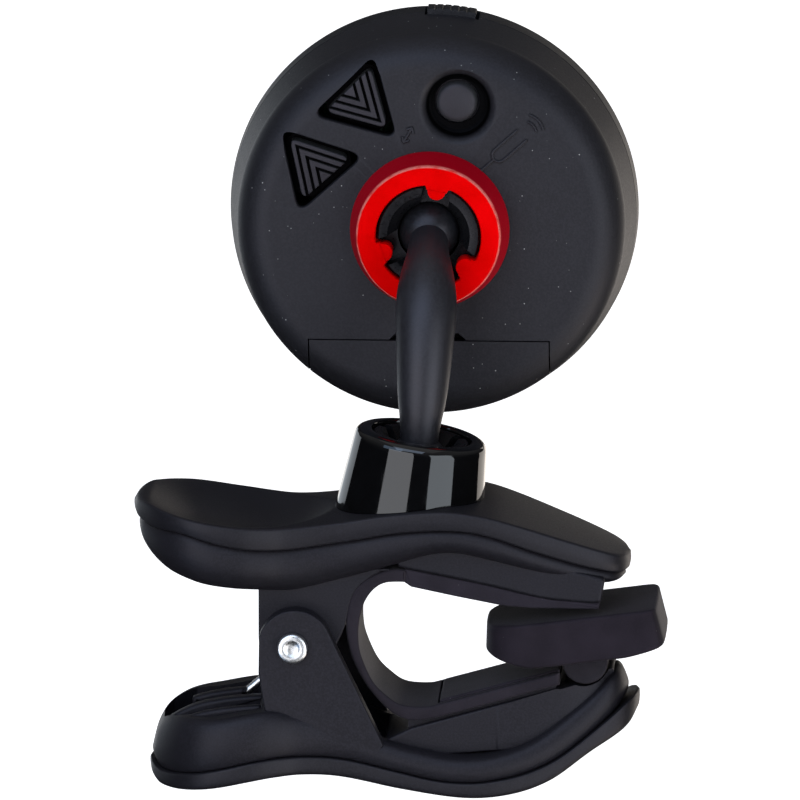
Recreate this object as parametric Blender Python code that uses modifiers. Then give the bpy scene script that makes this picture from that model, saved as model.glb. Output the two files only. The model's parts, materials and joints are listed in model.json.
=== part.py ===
"""A clip-on tuner: a sprung clip, an arm with a ball at each end, and a round tuner head.

Lengths are in millimetres and become metres where a mesh is made. The part's frame has its origin at
the middle of the upper grip pad's flat face, with +X towards the clip's mouth, +Y towards the
display and +Z up. Three sub-frames carry the shapes:
  clip frame    origin on the hinge pin's axis, axes as the part's frame
  socket frame  origin at the lower ball's centre, +Z along the collar's leaning axis
  head frame    origin at the upper ball's centre, +X right and +Y up as seen from the back of the
                head, +Z out of the back; Z = 0 is the flat rear face
"""
import math

import bmesh
import bpy
from mathutils import Matrix, Vector

MM = 0.001
GAP = 0.3

# Where the sub-frames stand, seen from the hinge pin.
PAD_FACE_CENTRE = (17.5, 0.0, 5.35)
SOCKET_CENTRE = (13.15, 0.0, 18.6)
SOCKET_LEAN = 8.5
HEAD_CENTRE = (13.9, 14.0, 41.65)

# Clip.
UPPER_JAW_X = (-17.6, 36.4)
LOWER_COVER_X = (-15.6, 37.3)
LOWER_JAW_X = (-15.5, 35.3)
BODY_INSET = 0.9
THUMB_DISH_CENTRE = (-7.6, 0.0, 16.4)
THUMB_DISH_RADII = (10.4, 8.9, 3.4)
CARRIER_WIDTH = 12.0
STRIP_WIDTH = 12.0
UPPER_PAD_WIDTH = 11.6
LOWER_PAD_WIDTH = 10.0
EAR_OUTER_Y = 8.3
EAR_THICKNESS = 2.0
EAR_RADIUS = 4.0
LUG_OUTER_Y = 6.0
LUG_THICKNESS = 1.8
PIN_RADIUS = 1.1
PIN_HEAD_RADIUS = 1.65
SPRING_WIRE_RADIUS = 0.45
SPRING_COIL_RADIUS = 2.1
SPRING_TURNS = 5

# Swivel foot.
FOOT_AXIS = (31.6, 0.0, -2.0)
FOOT_TILT = 7.5
FOOT_LENGTH = 19.8
FOOT_WIDTH = 14.0
FOOT_THICKNESS = 4.9
FOOT_OFFSET = (-0.6, 0.0, 2.72)
KNUCKLE_RADIUS = 2.5
KNUCKLE_LENGTH = 10.0
FOOT_PIN_RADIUS = 0.8

# Arm and its sockets.
BALL_RADIUS = 3.4
SEAT_RADIUS = BALL_RADIUS + GAP
SEAT_MOUTH_Z = 1.6
COLLAR_TOP_Z = 3.54
COLLAR_TOP_RADIUS = 7.2
COLLAR_TAPER = 0.1
COLLAR_BORE = 5.4
ARM_START_REACH = 13.0
ARM_END_REACH = 10.0
ARM_END_DIP = 13.0
ARM_RADII = (2.1, 2.1, 2.5, 2.8, 3.1, 3.3, 3.25, 2.9, 2.4, 2.1, 2.05)

# Head.
HEAD_RADIUS = 22.0
FACE_RADIUS = 17.5
SHOULDER_RADIUS = 21.2
SHOULDER_DEPTH = 4.0
SPLIT_Z = -9.7
FRONT_Z = -13.0
WALL = 1.35
REAR_WALL = 2.0
SOCKET_HOLE = 5.75
RING_BASE_RADIUS = 8.7
RING_TOP_RADIUS = 7.8
RING_HEIGHT = 4.0
TAB_REACH = 4.1
TAB_WIDTH = 2.6
TAB_ANGLES = (80.0, 200.0, 320.0)
DOOR_HALF_WIDTH = 13.2
DOOR_TOP_Y = -12.3
LENS_RADIUS = 18.0
WINDOW_RADIUS = 16.6
BOARD_Z = (-9.7, -8.9)
BOARD_RADIUS = 19.0
BATTERY_CENTRE = (0.0, -9.2)
BATTERY_RADIUS = 10.0
BATTERY_Z = (-8.1, -4.9)
SCREW_RADIUS = 0.6
SCREW_CIRCLE = 17.9
SCREW_ANGLES = (30.0, 170.0, 215.0, 325.0)
UP_CENTRE, UP_ANGLE = (-7.5, 14.0), 73.0
DOWN_CENTRE, DOWN_ANGLE = (-12.6, 6.95), 12.0
CAL_CENTRE = (2.9, 14.0)
POWER_X = 2.5
RECESS_CIRCUMRADIUS = 4.85
BUTTON_CIRCUMRADIUS = 3.95
SWITCH_SIZE = 3.6
SWITCH_Z = (-8.6, -5.4)

PARTS = "clip_on_tuner"
CUTTERS = "cutters"


def clear_scene():
    for item in list(bpy.data.objects):
        bpy.data.objects.remove(item, do_unlink=True)


def collection(name):
    found = bpy.data.collections.new(name)
    bpy.context.scene.collection.children.link(found)
    return found


def frame(name, location, rotation=(0.0, 0.0, 0.0)):
    """An empty that carries a sub-frame; location in mm from the hinge pin, rotation in degrees."""
    empty = bpy.data.objects.new(name, None)
    empty.location = (Vector(location) - Vector(PAD_FACE_CENTRE)) * MM
    empty.rotation_euler = [math.radians(a) for a in rotation]
    bpy.data.collections[PARTS].objects.link(empty)
    return empty


def material(name, colour, roughness, metallic=0.0):
    made = bpy.data.materials.get(name)
    if made is None:
        made = bpy.data.materials.new(name)
        made.use_nodes = True
        shader = made.node_tree.nodes["Principled BSDF"]
        shader.inputs["Base Color"].default_value = (*colour, 1.0)
        shader.inputs["Roughness"].default_value = roughness
        shader.inputs["Metallic"].default_value = metallic
    return made


def matte_black(name):
    return material(name, (0.022, 0.022, 0.026), 0.6)


def rubber(name):
    return material(name, (0.028, 0.026, 0.03), 0.75)


def steel(name):
    return material(name, (0.7, 0.7, 0.72), 0.25, 1.0)


def add_object(name, mesh, parent, look=None, group=PARTS):
    made = bpy.data.objects.new(name, mesh)
    made.parent = parent
    bpy.data.collections[group].objects.link(made)
    if look is not None:
        mesh.materials.append(look)
    return made


def as_cutter(item):
    """Moves an object to the cutters' collection and hides it."""
    for group in list(item.users_collection):
        group.objects.unlink(item)
    bpy.data.collections[CUTTERS].objects.link(item)
    item.hide_render = True
    item.display_type = "WIRE"
    return item


def combine(target, other, operation):
    """A Boolean modifier on target; the other object becomes a hidden cutter."""
    modifier = target.modifiers.new(operation.lower() + "_" + other.name, "BOOLEAN")
    modifier.operation = operation
    modifier.solver = "EXACT"
    modifier.object = as_cutter(other)
    return target


def cut(target, other):
    return combine(target, other, "DIFFERENCE")


def join(target, other):
    return combine(target, other, "UNION")


def keep(target, other):
    return combine(target, other, "INTERSECT")


def smooth_line(points, steps=3):
    """A Catmull-Rom line through the points."""
    ends = [points[0]] + list(points) + [points[-1]]
    line = []
    for a, b, c, d in zip(ends, ends[1:], ends[2:], ends[3:]):
        for i in range(steps):
            t = i / steps
            line.append(
                tuple(
                    0.5
                    * (
                        2 * q
                        + (r - p) * t
                        + (2 * p - 5 * q + 4 * r - s) * t * t
                        + (3 * q - p - 3 * r + s) * t ** 3
                    )
                    for p, q, r, s in zip(a, b, c, d)
                )
            )
    line.append(points[-1])
    return line


def arc(centre, radius, start, end, steps):
    """Points on a circle from one angle to another, in degrees."""
    angles = [math.radians(start + (end - start) * i / steps) for i in range(steps + 1)]
    return [(centre[0] + radius * math.cos(a), centre[1] + radius * math.sin(a)) for a in angles]


def shifted(points, dx, dz):
    return [(x + dx, z + dz) for x, z in points]


def rounded_polygon(corners, radius, steps=3):
    """A closed outline, anticlockwise, whose corners are arcs of one radius."""
    line = []
    count = len(corners)
    for i, corner in enumerate(corners):
        here = Vector(corner)
        before = (Vector(corners[i - 1]) - here).normalized()
        after = (Vector(corners[(i + 1) % count]) - here).normalized()
        half = before.angle(after) / 2
        centre = here + (before + after).normalized() * radius / math.sin(half)
        first = here + before * radius / math.tan(half) - centre
        last = here + after * radius / math.tan(half) - centre
        turn = first.angle(last)
        start = math.degrees(math.atan2(first.y, first.x))
        line += arc(centre, radius, start, start + math.degrees(turn), steps)
    return line


def rounded_triangle(centre, circumradius, angle, radius=0.8):
    """Points of a triangle with one corner towards the given angle."""
    corners = [
        (
            centre[0] + circumradius * math.cos(math.radians(angle + 120 * i)),
            centre[1] + circumradius * math.sin(math.radians(angle + 120 * i)),
        )
        for i in range(3)
    ]
    return rounded_polygon(corners, radius)


def mesh_from(item):
    """The object's evaluated mesh, with loose caps welded and the faces pointing out."""
    bpy.context.view_layer.update()
    evaluated = item.evaluated_get(bpy.context.evaluated_depsgraph_get())
    mesh = bpy.data.meshes.new_from_object(evaluated)
    work = bmesh.new()
    work.from_mesh(mesh)
    bmesh.ops.remove_doubles(work, verts=work.verts, dist=0.000001)
    bmesh.ops.recalc_face_normals(work, faces=work.faces)
    work.to_mesh(mesh)
    work.free()
    return mesh


def extruded(name, outline, low, high, parent, look=None, side=False):
    """A closed outline made thick. A side outline lies in XZ and is thick from Y = low to high;
    otherwise it lies in XY and is thick from Z = low to high."""
    curve = bpy.data.curves.new(name, "CURVE")
    curve.dimensions = "2D"
    curve.fill_mode = "BOTH"
    curve.extrude = (high - low) / 2 * MM
    spline = curve.splines.new("POLY")
    spline.points.add(len(outline) - 1)
    for point, (x, y) in zip(spline.points, outline):
        point.co = (x * MM, y * MM, 0.0, 1.0)
    spline.use_cyclic_u = True
    flat = bpy.data.objects.new(name, curve)
    bpy.data.collections[PARTS].objects.link(flat)
    mesh = mesh_from(flat)
    bpy.data.objects.remove(flat)
    middle = (low + high) / 2 * MM
    if side:
        mesh.transform(Matrix.Translation((0, middle, 0)) @ Matrix.Rotation(math.pi / 2, 4, "X"))
    else:
        mesh.transform(Matrix.Translation((0, 0, middle)))
    return add_object(name, mesh, parent, look)


def block(name, low, high, parent, look=None):
    """A box from its lowest to its highest corner."""
    work = bmesh.new()
    bmesh.ops.create_cube(work, size=1.0)
    size = [(b - a) * MM for a, b in zip(low, high)]
    middle = [(b + a) / 2 * MM for a, b in zip(low, high)]
    bmesh.ops.scale(work, vec=size, verts=work.verts)
    bmesh.ops.translate(work, vec=middle, verts=work.verts)
    mesh = bpy.data.meshes.new(name)
    work.to_mesh(mesh)
    work.free()
    return add_object(name, mesh, parent, look)


def rod(name, radius, low, high, parent, look=None, axis="Z", centre=(0.0, 0.0), sides=24):
    """A cylinder along an axis, from low to high; centre gives its place across that axis."""
    work = bmesh.new()
    bmesh.ops.create_cone(
        work,
        cap_ends=True,
        segments=sides,
        radius1=radius * MM,
        radius2=radius * MM,
        depth=(high - low) * MM,
    )
    mesh = bpy.data.meshes.new(name)
    work.to_mesh(mesh)
    work.free()
    middle = (low + high) / 2 * MM
    a, b = centre[0] * MM, centre[1] * MM
    if axis == "Y":
        mesh.transform(Matrix.Translation((a, middle, b)) @ Matrix.Rotation(math.pi / 2, 4, "X"))
    else:
        mesh.transform(Matrix.Translation((a, b, middle)))
    return add_object(name, mesh, parent, look)


def ball(name, radius, parent, look=None, segments=20):
    work = bmesh.new()
    bmesh.ops.create_uvsphere(work, u_segments=segments, v_segments=segments // 2, radius=radius * MM)
    mesh = bpy.data.meshes.new(name)
    work.to_mesh(mesh)
    work.free()
    mesh.shade_smooth()
    return add_object(name, mesh, parent, look)


def turned(name, profile, parent, look=None, sides=40, closed=False):
    """A profile of (radius, Z) points turned about Z. It runs down the outer side; a closed one
    goes clockwise."""
    mesh = bpy.data.meshes.new(name)
    points = [(r * MM, 0.0, z * MM) for r, z in profile]
    edges = [(i, i + 1) for i in range(len(points) - 1)]
    if closed:
        edges.append((len(points) - 1, 0))
    mesh.from_pydata(points, edges, [])
    made = add_object(name, mesh, parent, look)
    screw = made.modifiers.new("turn", "SCREW")
    screw.steps = screw.render_steps = sides
    screw.use_merge_vertices = True
    screw.merge_threshold = 0.00001
    return made


def wire(name, points, radius, parent, look=None, scales=None, sides=2):
    """A round tube along the points; scales gives its radius at each point."""
    curve = bpy.data.curves.new(name, "CURVE")
    curve.dimensions = "3D"
    curve.bevel_depth = radius * MM
    curve.bevel_resolution = sides
    curve.use_fill_caps = True
    spline = curve.splines.new("POLY")
    spline.points.add(len(points) - 1)
    for i, place in enumerate(points):
        spline.points[i].co = (*(Vector(place) * MM), 1.0)
        spline.points[i].radius = 1.0 if scales is None else scales[i]
    tube = bpy.data.objects.new(name, curve)
    bpy.data.collections[PARTS].objects.link(tube)
    mesh = mesh_from(tube)
    bpy.data.objects.remove(tube)
    mesh.shade_smooth()
    return add_object(name, mesh, parent, look)


# Clip outlines, in the clip frame.

HALF_WIDTHS = [
    (0.0, 0.0),
    (0.010, 3.6),
    (0.048, 7.2),
    (0.096, 9.6),
    (0.148, 10.6),
    (0.217, 10.5),
    (0.269, 9.8),
    (0.32, 8.9),
    (0.417, 8.3),
    (0.565, 8.6),
    (0.707, 8.6),
    (0.861, 6.9),
    (0.952, 5.2),
    (0.987, 3.2),
    (1.0, 0.0),
]
UPPER_TOP = [
    (-17.7, 16.1),
    (-12.5, 14.7),
    (-6.4, 13.7),
    (-0.7, 13.4),
    (7.6, 14.3),
    (15.9, 15.3),
    (22.6, 14.2),
    (29.3, 11.9),
    (36.5, 9.2),
]
UPPER_SEAM = [
    (36.5, 7.3),
    (31.1, 8.9),
    (25.7, 10.8),
    (21.2, 12.5),
    (17.6, 13.1),
    (11.7, 12.8),
    (6.7, 11.9),
    (-0.8, 10.9),
    (-4.5, 11.0),
    (-8.2, 11.8),
    (-12.0, 12.8),
    (-17.7, 13.3),
]
UPPER_BELLY = [
    (-16.8, 11.2),
    (-13.9, 8.7),
    (-8.3, 7.0),
    (-3.5, 6.2),
    (0.1, 6.0),
    (5.6, 7.2),
    (11.0, 9.0),
    (14.9, 10.2),
    (17.6, 10.3),
    (24.7, 8.5),
    (29.1, 7.2),
    (34.6, 6.3),
]
LOWER_RIM = [
    (-15.6, -12.4),
    (-14.8, -9.9),
    (-12.6, -8.4),
    (-8.5, -7.9),
    (-2.9, -7.1),
    (2.3, -8.0),
    (6.8, -9.2),
    (9.5, -10.4),
    (13.6, -11.5),
    (17.7, -12.2),
    (21.9, -11.9),
    (26.0, -10.5),
    (30.2, -7.5),
    (33.3, -4.9),
    (34.7, -3.4),
    (35.5, -3.5),
]
LOWER_SEAM = [
    (36.9, -5.8),
    (34.2, -8.3),
    (29.1, -12.2),
    (22.9, -14.5),
    (17.7, -14.9),
    (11.5, -13.8),
    (5.0, -12.4),
    (-0.4, -12.1),
    (-7.5, -13.2),
    (-14.3, -14.5),
    (-15.8, -14.5),
]
LOWER_KEEL = [
    (-15.8, -15.6),
    (-14.2, -16.2),
    (-9.4, -15.5),
    (-2.1, -14.2),
    (4.1, -14.2),
    (11.7, -15.6),
    (18.7, -16.6),
    (23.9, -16.2),
    (28.0, -14.8),
    (32.2, -11.9),
    (36.2, -9.3),
    (37.5, -7.3),
    (37.4, -5.9),
]
STRIP_OUTER = [
    (11.9, 8.05),
    (10.6, 8.1),
    (8.6, 7.4),
    (6.8, 6.1),
    (6.0, 4.4),
    (5.7, 2.1),
    (6.0, -0.3),
    (6.8, -2.7),
    (8.3, -5.2),
    (10.2, -7.3),
    (12.1, -8.4),
    (14.2, -8.5),
]
STRIP_END = [(28.9, -4.4), (28.9, -3.0)]
STRIP_INNER = [
    (15.7, -6.7),
    (14.2, -7.0),
    (11.7, -6.8),
    (10.0, -5.7),
    (8.6, -4.2),
    (7.5, -1.8),
    (7.1, -0.1),
    (7.1, 2.1),
    (7.6, 4.3),
    (8.6, 5.9),
    (10.0, 6.75),
    (11.9, 6.8),
]
CARRIER_FOOT = [(33.5, 5.6), (29.2, 5.3), (25.3, 5.8), (20.2, 6.8), (10.8, 8.65)]
PAD_FACE = [(12.3, 6.4), (22.7, 4.3), (26.0, 4.1), (33.3, 4.4)]


def plan_outline(ends, inset=0.0):
    """The clip's outline seen from above, between two ends in X."""
    low, high = ends[0] + inset, ends[1] - inset
    widest = max(w for _, w in HALF_WIDTHS)
    near = [(low + s * (high - low), w * (1 - inset / widest)) for s, w in HALF_WIDTHS]
    edge = smooth_line(near, 2)
    return edge + [(x, -y) for x, y in edge[-2:0:-1]]


def add_ribs(jaw, clip, low_z, high_z, lanes):
    """Cuts lengthwise pockets into a thumb lever, which leaves ribs between them."""
    for i, (start_x, low_y, high_y) in enumerate(lanes):
        pocket = block(f"{jaw.name}_pocket_{i}", (start_x, low_y, low_z), (-3.6, high_y, high_z), clip)
        cut(jaw, pocket)


def make_upper_jaw_cover(clip):
    profile = smooth_line(UPPER_TOP) + smooth_line(UPPER_SEAM)
    cover = extruded("upper_jaw_cover", profile, -12, 12, clip, matte_black("jaw_cover"), side=True)
    keep(cover, extruded("cover_plan", plan_outline(UPPER_JAW_X), 5, 20, clip))
    dish = ball("thumb_dish", 1.0, clip, segments=24)
    dish.data.transform(Matrix.Diagonal((*THUMB_DISH_RADII, 1.0)))
    dish.data.transform(Matrix.Translation(Vector(THUMB_DISH_CENTRE) * MM))
    return cut(cover, dish)


def make_upper_jaw(clip):
    seam = shifted(smooth_line(UPPER_SEAM), 0, -GAP)
    profile = seam[2:-2] + smooth_line(UPPER_BELLY)
    jaw = extruded("upper_jaw", profile, -12, 12, clip, matte_black("jaw_body"), side=True)
    keep(jaw, extruded("upper_jaw_plan", plan_outline(UPPER_JAW_X, BODY_INSET), 3, 20, clip))
    half = CARRIER_WIDTH / 2
    carrier = [(10.8, 9.6), (15.0, 11.5), (18.0, 11.5), (33.5, 7.2)][::-1] + CARRIER_FOOT[::-1]
    join(jaw, extruded("upper_carrier", carrier, -half, half, clip, side=True))
    add_ribs(jaw, clip, 5, 9.8, [(-13.6, 1.9, 4.2), (-13.6, -1.1, 1.1), (-13.6, -4.2, -1.9)])
    lug = (
        [(-3.8, 7.6), (-3.8, 1.2)]
        + arc((0, 0), 3.8, 180, 350, 10)
        + [(4.6, 0.3), (5.2, 2.1), (5.5, 4.4), (6.3, 6.9), (6.5, 8.0)]
    )
    for label, side in (("near", -1), ("far", 1)):
        span = sorted((side * LUG_OUTER_Y, side * (LUG_OUTER_Y - LUG_THICKNESS)))
        join(jaw, extruded(f"lug_{label}", lug, *span, clip, side=True))
    return cut(jaw, rod("lug_bore", PIN_RADIUS + GAP, -7, 7, clip, axis="Y"))


def make_lower_jaw(clip):
    seam = shifted(smooth_line(LOWER_SEAM), 0, GAP)
    profile = smooth_line(LOWER_RIM) + seam[2:]
    jaw = extruded("lower_jaw", profile, -12, 12, clip, matte_black("jaw_body"), side=True)
    keep(jaw, extruded("lower_jaw_plan", plan_outline(LOWER_JAW_X, 0.3), -20, 0, clip))
    half = CARRIER_WIDTH / 2
    carrier = [(12.6, -12.6), (28.8, -11.0), (28.8, -4.85), (12.6, -9.45)]
    join(jaw, extruded("lower_carrier", carrier, -half, half, clip, side=True))
    lanes = [(-12.0, 5.4, 8.0), (-13.6, 1.9, 3.9), (-13.6, -2.7, 0.1), (-13.0, -6.4, -4.5)]
    add_ribs(jaw, clip, -11.4, -5, lanes)
    ear = arc((0, 0), EAR_RADIUS, 165, 25, 10) + [(4.8, 0.7), (9.2, -9.9), (8.6, -11.4), (-2.2, -10.4)]
    ear += [(-3.0, -6.7), (-3.7, -2.9)]
    for label, side in (("near", -1), ("far", 1)):
        span = sorted((side * EAR_OUTER_Y, side * (EAR_OUTER_Y - EAR_THICKNESS)))
        join(jaw, extruded(f"ear_{label}", ear, *span, clip, side=True))
    cut(jaw, rod("ear_bore", PIN_RADIUS + GAP, -10, 10, clip, axis="Y"))
    x, z = FOOT_AXIS[0], FOOT_AXIS[2]
    tongue = arc((x, z), 1.9, 180, 0, 8) + [(x + 1.9, -6.4), (x + 1.4, -9.0), (x - 1.9, -10.0)]
    join(jaw, extruded("tongue", tongue, -1.7, 1.7, clip, side=True))
    return cut(jaw, rod("tongue_bore", FOOT_PIN_RADIUS + GAP, -3, 3, clip, axis="Y", centre=(x, z), sides=16))


def make_lower_jaw_cover(clip):
    profile = smooth_line(LOWER_SEAM) + smooth_line(LOWER_KEEL)
    cover = extruded("lower_jaw_cover", profile, -12, 12, clip, matte_black("jaw_cover"), side=True)
    return keep(cover, extruded("lower_cover_plan", plan_outline(LOWER_COVER_X), -20, 0, clip))


def make_hinge_pin(clip):
    inner = EAR_OUTER_Y + GAP
    outer = inner + 0.6
    profile = [
        (0.0, outer - 0.5),
        (0.7, outer - 0.5),
        (1.0, outer),
        (PIN_HEAD_RADIUS - 0.25, outer),
        (PIN_HEAD_RADIUS, outer - 0.25),
        (PIN_HEAD_RADIUS, inner),
        (PIN_RADIUS, inner),
    ]
    profile += [(r, -z) for r, z in reversed(profile)]
    pin = turned("hinge_pin", profile, clip, steel("pin"), sides=24)
    pin.rotation_euler.x = math.pi / 2
    return pin


def make_torsion_spring(clip):
    """A coil round the pin whose two legs press the thumb levers apart."""
    start, turns_end = 312.2, 60.5 + 360.0 * SPRING_TURNS
    steps = 10 * SPRING_TURNS
    coil = []
    for i in range(steps + 1):
        angle = math.radians(start + (turns_end - start) * i / steps)
        y = 3.0 - 6.0 * i / steps
        coil.append((SPRING_COIL_RADIUS * math.cos(angle), y, SPRING_COIL_RADIUS * math.sin(angle)))
    points = [(-5.6, 3.0, -7.9)] + coil + [(-5.5, -3.0, 5.6)]
    return wire("torsion_spring", points, SPRING_WIRE_RADIUS, clip, steel("spring_wire"))


def make_upper_grip_pad(clip):
    top = shifted(CARRIER_FOOT, 0, -GAP)[:-1] + [(12.3, 8.05)]
    half = UPPER_PAD_WIDTH / 2
    return extruded("upper_grip_pad", PAD_FACE + top, -half, half, clip, rubber("grip"), side=True)


def make_throat_strip(clip):
    outline = smooth_line(STRIP_OUTER) + STRIP_END + smooth_line(STRIP_INNER)
    half = STRIP_WIDTH / 2
    strip = extruded("throat_strip", outline, -half, half, clip, rubber("strip"), side=True)
    pocket = [(15.7, -7.6), (29.5, -3.7), (29.5, -2.0), (15.7, -5.5)]
    half = LOWER_PAD_WIDTH / 2 + GAP
    return cut(strip, extruded("pad_pocket", pocket, -half, half, clip, side=True))


def make_lower_grip_pad(clip):
    outline = [(16.0, -7.2), (28.9, -3.55), (28.9, -2.9), (16.0, -6.5)]
    half = LOWER_PAD_WIDTH / 2
    return extruded("lower_grip_pad", outline, -half, half, clip, rubber("grip"), side=True)


def make_foot(foot):
    """The swivelling lower foot and the knuckle it turns on, in a frame on the knuckle's axis."""
    count = 40
    outline = []
    for i in range(count):
        c, s = math.cos(2 * math.pi * i / count), math.sin(2 * math.pi * i / count)
        x = math.copysign(abs(c) ** (2 / 2.5), c) * FOOT_LENGTH / 2 + FOOT_OFFSET[0]
        y = math.copysign(abs(s) ** (2 / 2.5), s) * FOOT_WIDTH / 2
        outline.append((x, y))
    low = FOOT_OFFSET[2] - FOOT_THICKNESS / 2
    pad = extruded("foot_pad", outline, low, low + FOOT_THICKNESS, foot, rubber("foot"))
    reach, half = KNUCKLE_RADIUS, KNUCKLE_LENGTH / 2
    pocket = block(
        "knuckle_pocket",
        (-reach - GAP, -half - GAP, -1.0),
        (reach + GAP, half + GAP, 3.5),
        foot,
    )
    cut(pad, pocket)
    knuckle = rod("foot_knuckle", KNUCKLE_RADIUS, -half, half, foot, rubber("knuckle"), axis="Y")
    join(knuckle, block("knuckle_web", (-reach, -half, 0.0), (reach, half, 3.2), foot))
    cut(knuckle, block("knuckle_slot", (-4, -2, -4), (4, 2, 2.2), foot))
    bore = rod("knuckle_bore", FOOT_PIN_RADIUS + GAP, -7, 7, foot, axis="Y", sides=16)
    cut(knuckle, bore)


def make_foot_pin(clip):
    x, z = FOOT_AXIS[0], FOOT_AXIS[2]
    return rod("foot_pin", FOOT_PIN_RADIUS, -4.9, 4.9, clip, steel("pin"), axis="Y", centre=(x, z), sides=16)


def seat_profile():
    """The inside of a ball socket, from the bottom of the seat up to its mouth."""
    mouth = math.degrees(math.asin(SEAT_MOUTH_Z / SEAT_RADIUS))
    return arc((0.0, 0.0), SEAT_RADIUS, -90, mouth, 7)


def make_socket_collar(socket, clip):
    low = -8.0
    base = COLLAR_TOP_RADIUS + (COLLAR_TOP_Z - low) * COLLAR_TAPER
    profile = [
        (COLLAR_BORE, COLLAR_TOP_Z),
        (COLLAR_TOP_RADIUS - 0.4, COLLAR_TOP_Z),
        (COLLAR_TOP_RADIUS - 0.1, COLLAR_TOP_Z - 0.12),
        (COLLAR_TOP_RADIUS, COLLAR_TOP_Z - 0.4),
        (base, low),
        (COLLAR_BORE, low),
    ]
    look = material("gloss_black", (0.01, 0.01, 0.011), 0.08)
    collar = turned("socket_collar", profile, socket, look, closed=True)
    ground = shifted(smooth_line(UPPER_TOP), 0, GAP) + [(36.5, 0.0), (-17.7, 0.0)]
    return cut(collar, extruded("collar_seat", ground, -12, 12, clip, side=True))


def make_lower_socket(socket, cover):
    """The slotted cup that grips the lower ball; it stands in a hole through the jaw's cover."""
    outer = COLLAR_BORE - GAP
    profile = seat_profile() + [(4.3, 3.2), (outer, 3.2), (outer, -4.9), (0.0, -4.9)]
    cup = turned("lower_socket", profile, socket, matte_black("socket"), sides=32)
    for i in range(3):
        slot = block(f"finger_slot_{i}", (2.0, -0.6, -0.8), (7.0, 0.6, 5.0), socket)
        slot.rotation_euler.z = math.radians(30 + 120 * i)
        cut(cup, slot)
    cut(cover, rod("socket_well", COLLAR_BORE, -9, -1, socket))
    return cup


def arm_path(count):
    """The arm's centre line from the lower ball to the upper one, as a cubic in the clip frame."""
    lean, dip = math.radians(SOCKET_LEAN), math.radians(ARM_END_DIP)
    start, end = Vector(SOCKET_CENTRE), Vector(HEAD_CENTRE)
    first = start + ARM_START_REACH * Vector((math.sin(lean), 0.0, math.cos(lean)))
    last = end - ARM_END_REACH * Vector((0.0, math.cos(dip), math.sin(dip)))
    line = []
    for i in range(count + 1):
        t = i / count
        s = 1 - t
        line.append(s ** 3 * start + 3 * s * s * t * first + 3 * s * t * t * last + t ** 3 * end)
    return line


def arm_radius(t):
    place = t * (len(ARM_RADII) - 1)
    i = min(int(place), len(ARM_RADII) - 2)
    return ARM_RADII[i] + (ARM_RADII[i + 1] - ARM_RADII[i]) * (place - i)


def make_stem(clip, socket, head):
    """The arm; each end is hollowed to stand just clear of its ball."""
    count = 20
    scales = [arm_radius(i / count) for i in range(count + 1)]
    arm = wire("stem", arm_path(count), 1.0, clip, matte_black("stem"), scales, sides=4)
    cut(arm, ball("lower_ball_room", SEAT_RADIUS, socket, segments=24))
    cut(arm, ball("upper_ball_room", SEAT_RADIUS, head, segments=24))
    ball("lower_ball", BALL_RADIUS, socket, matte_black("ball"))
    ball("upper_ball", BALL_RADIUS, head, matte_black("ball"))


def shell_outer():
    """The rear shell's outside, from the flat face's edge to the split line."""
    points = []
    for i in range(7):
        a = math.radians(15 * i)
        reach = SHOULDER_RADIUS - FACE_RADIUS
        points.append((FACE_RADIUS + reach * math.sin(a), SHOULDER_DEPTH * (math.cos(a) - 1)))
    return points + [(HEAD_RADIUS - 0.05, SPLIT_Z)]


def shell_inner():
    """The rear shell's inside, from the split line back to the rear wall."""
    points = [(HEAD_RADIUS - WALL, SPLIT_Z)]
    reach, depth = 3.6, 3.0
    side = SHOULDER_RADIUS - WALL
    for i in range(5):
        a = math.radians(90 - 22.5 * i)
        points.append((side - reach * (1 - math.sin(a)), depth * (math.cos(a) - 1) - REAR_WALL))
    return points


def shell_body(name, head, look=None):
    hole = SOCKET_HOLE
    profile = [(hole, 0.0)] + shell_outer() + shell_inner() + [(hole, -REAR_WALL)]
    return turned(name, profile, head, look, sides=48, closed=True)


def make_rear_shell(head):
    shell = shell_body("rear_shell", head, matte_black("head_shell"))
    for label, centre, angle in (("up", UP_CENTRE, UP_ANGLE), ("down", DOWN_CENTRE, DOWN_ANGLE)):
        recess = rounded_triangle(centre, RECESS_CIRCUMRADIUS, angle)
        cut(shell, extruded(f"{label}_recess", recess, -4, 2, head))
        cut(shell, rod(f"{label}_pocket", 4.3, -6.0, -REAR_WALL - 0.05, head, centre=centre))
    dish = [(0.0, 1.0), (4.3, 1.0), (3.9, 0.0), (3.3, -1.1), (0.0, -1.1)]
    cal_dish = turned("cal_dish", dish, head, sides=28)
    cal_dish.location = (CAL_CENTRE[0] * MM, CAL_CENTRE[1] * MM, 0.0)
    cut(shell, cal_dish)
    cut(shell, rod("cal_hole", 2.5, -4, 1, head, centre=CAL_CENTRE))
    half = DOOR_HALF_WIDTH
    cut(shell, block("door_opening", (-half - 0.1, -30, -20), (half - 0.1, DOOR_TOP_Y, 5), head))
    return shell


def make_battery_door(head):
    """A slice of the rear shell's own shape, a gap smaller than the opening that it slides out of."""
    door = shell_body("battery_door", head, matte_black("head_shell"))
    half, top = DOOR_HALF_WIDTH - GAP, DOOR_TOP_Y - GAP
    return keep(door, block("door_bounds", (-half - 0.1, -30, -20), (half - 0.1, top, 5), head))


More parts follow.
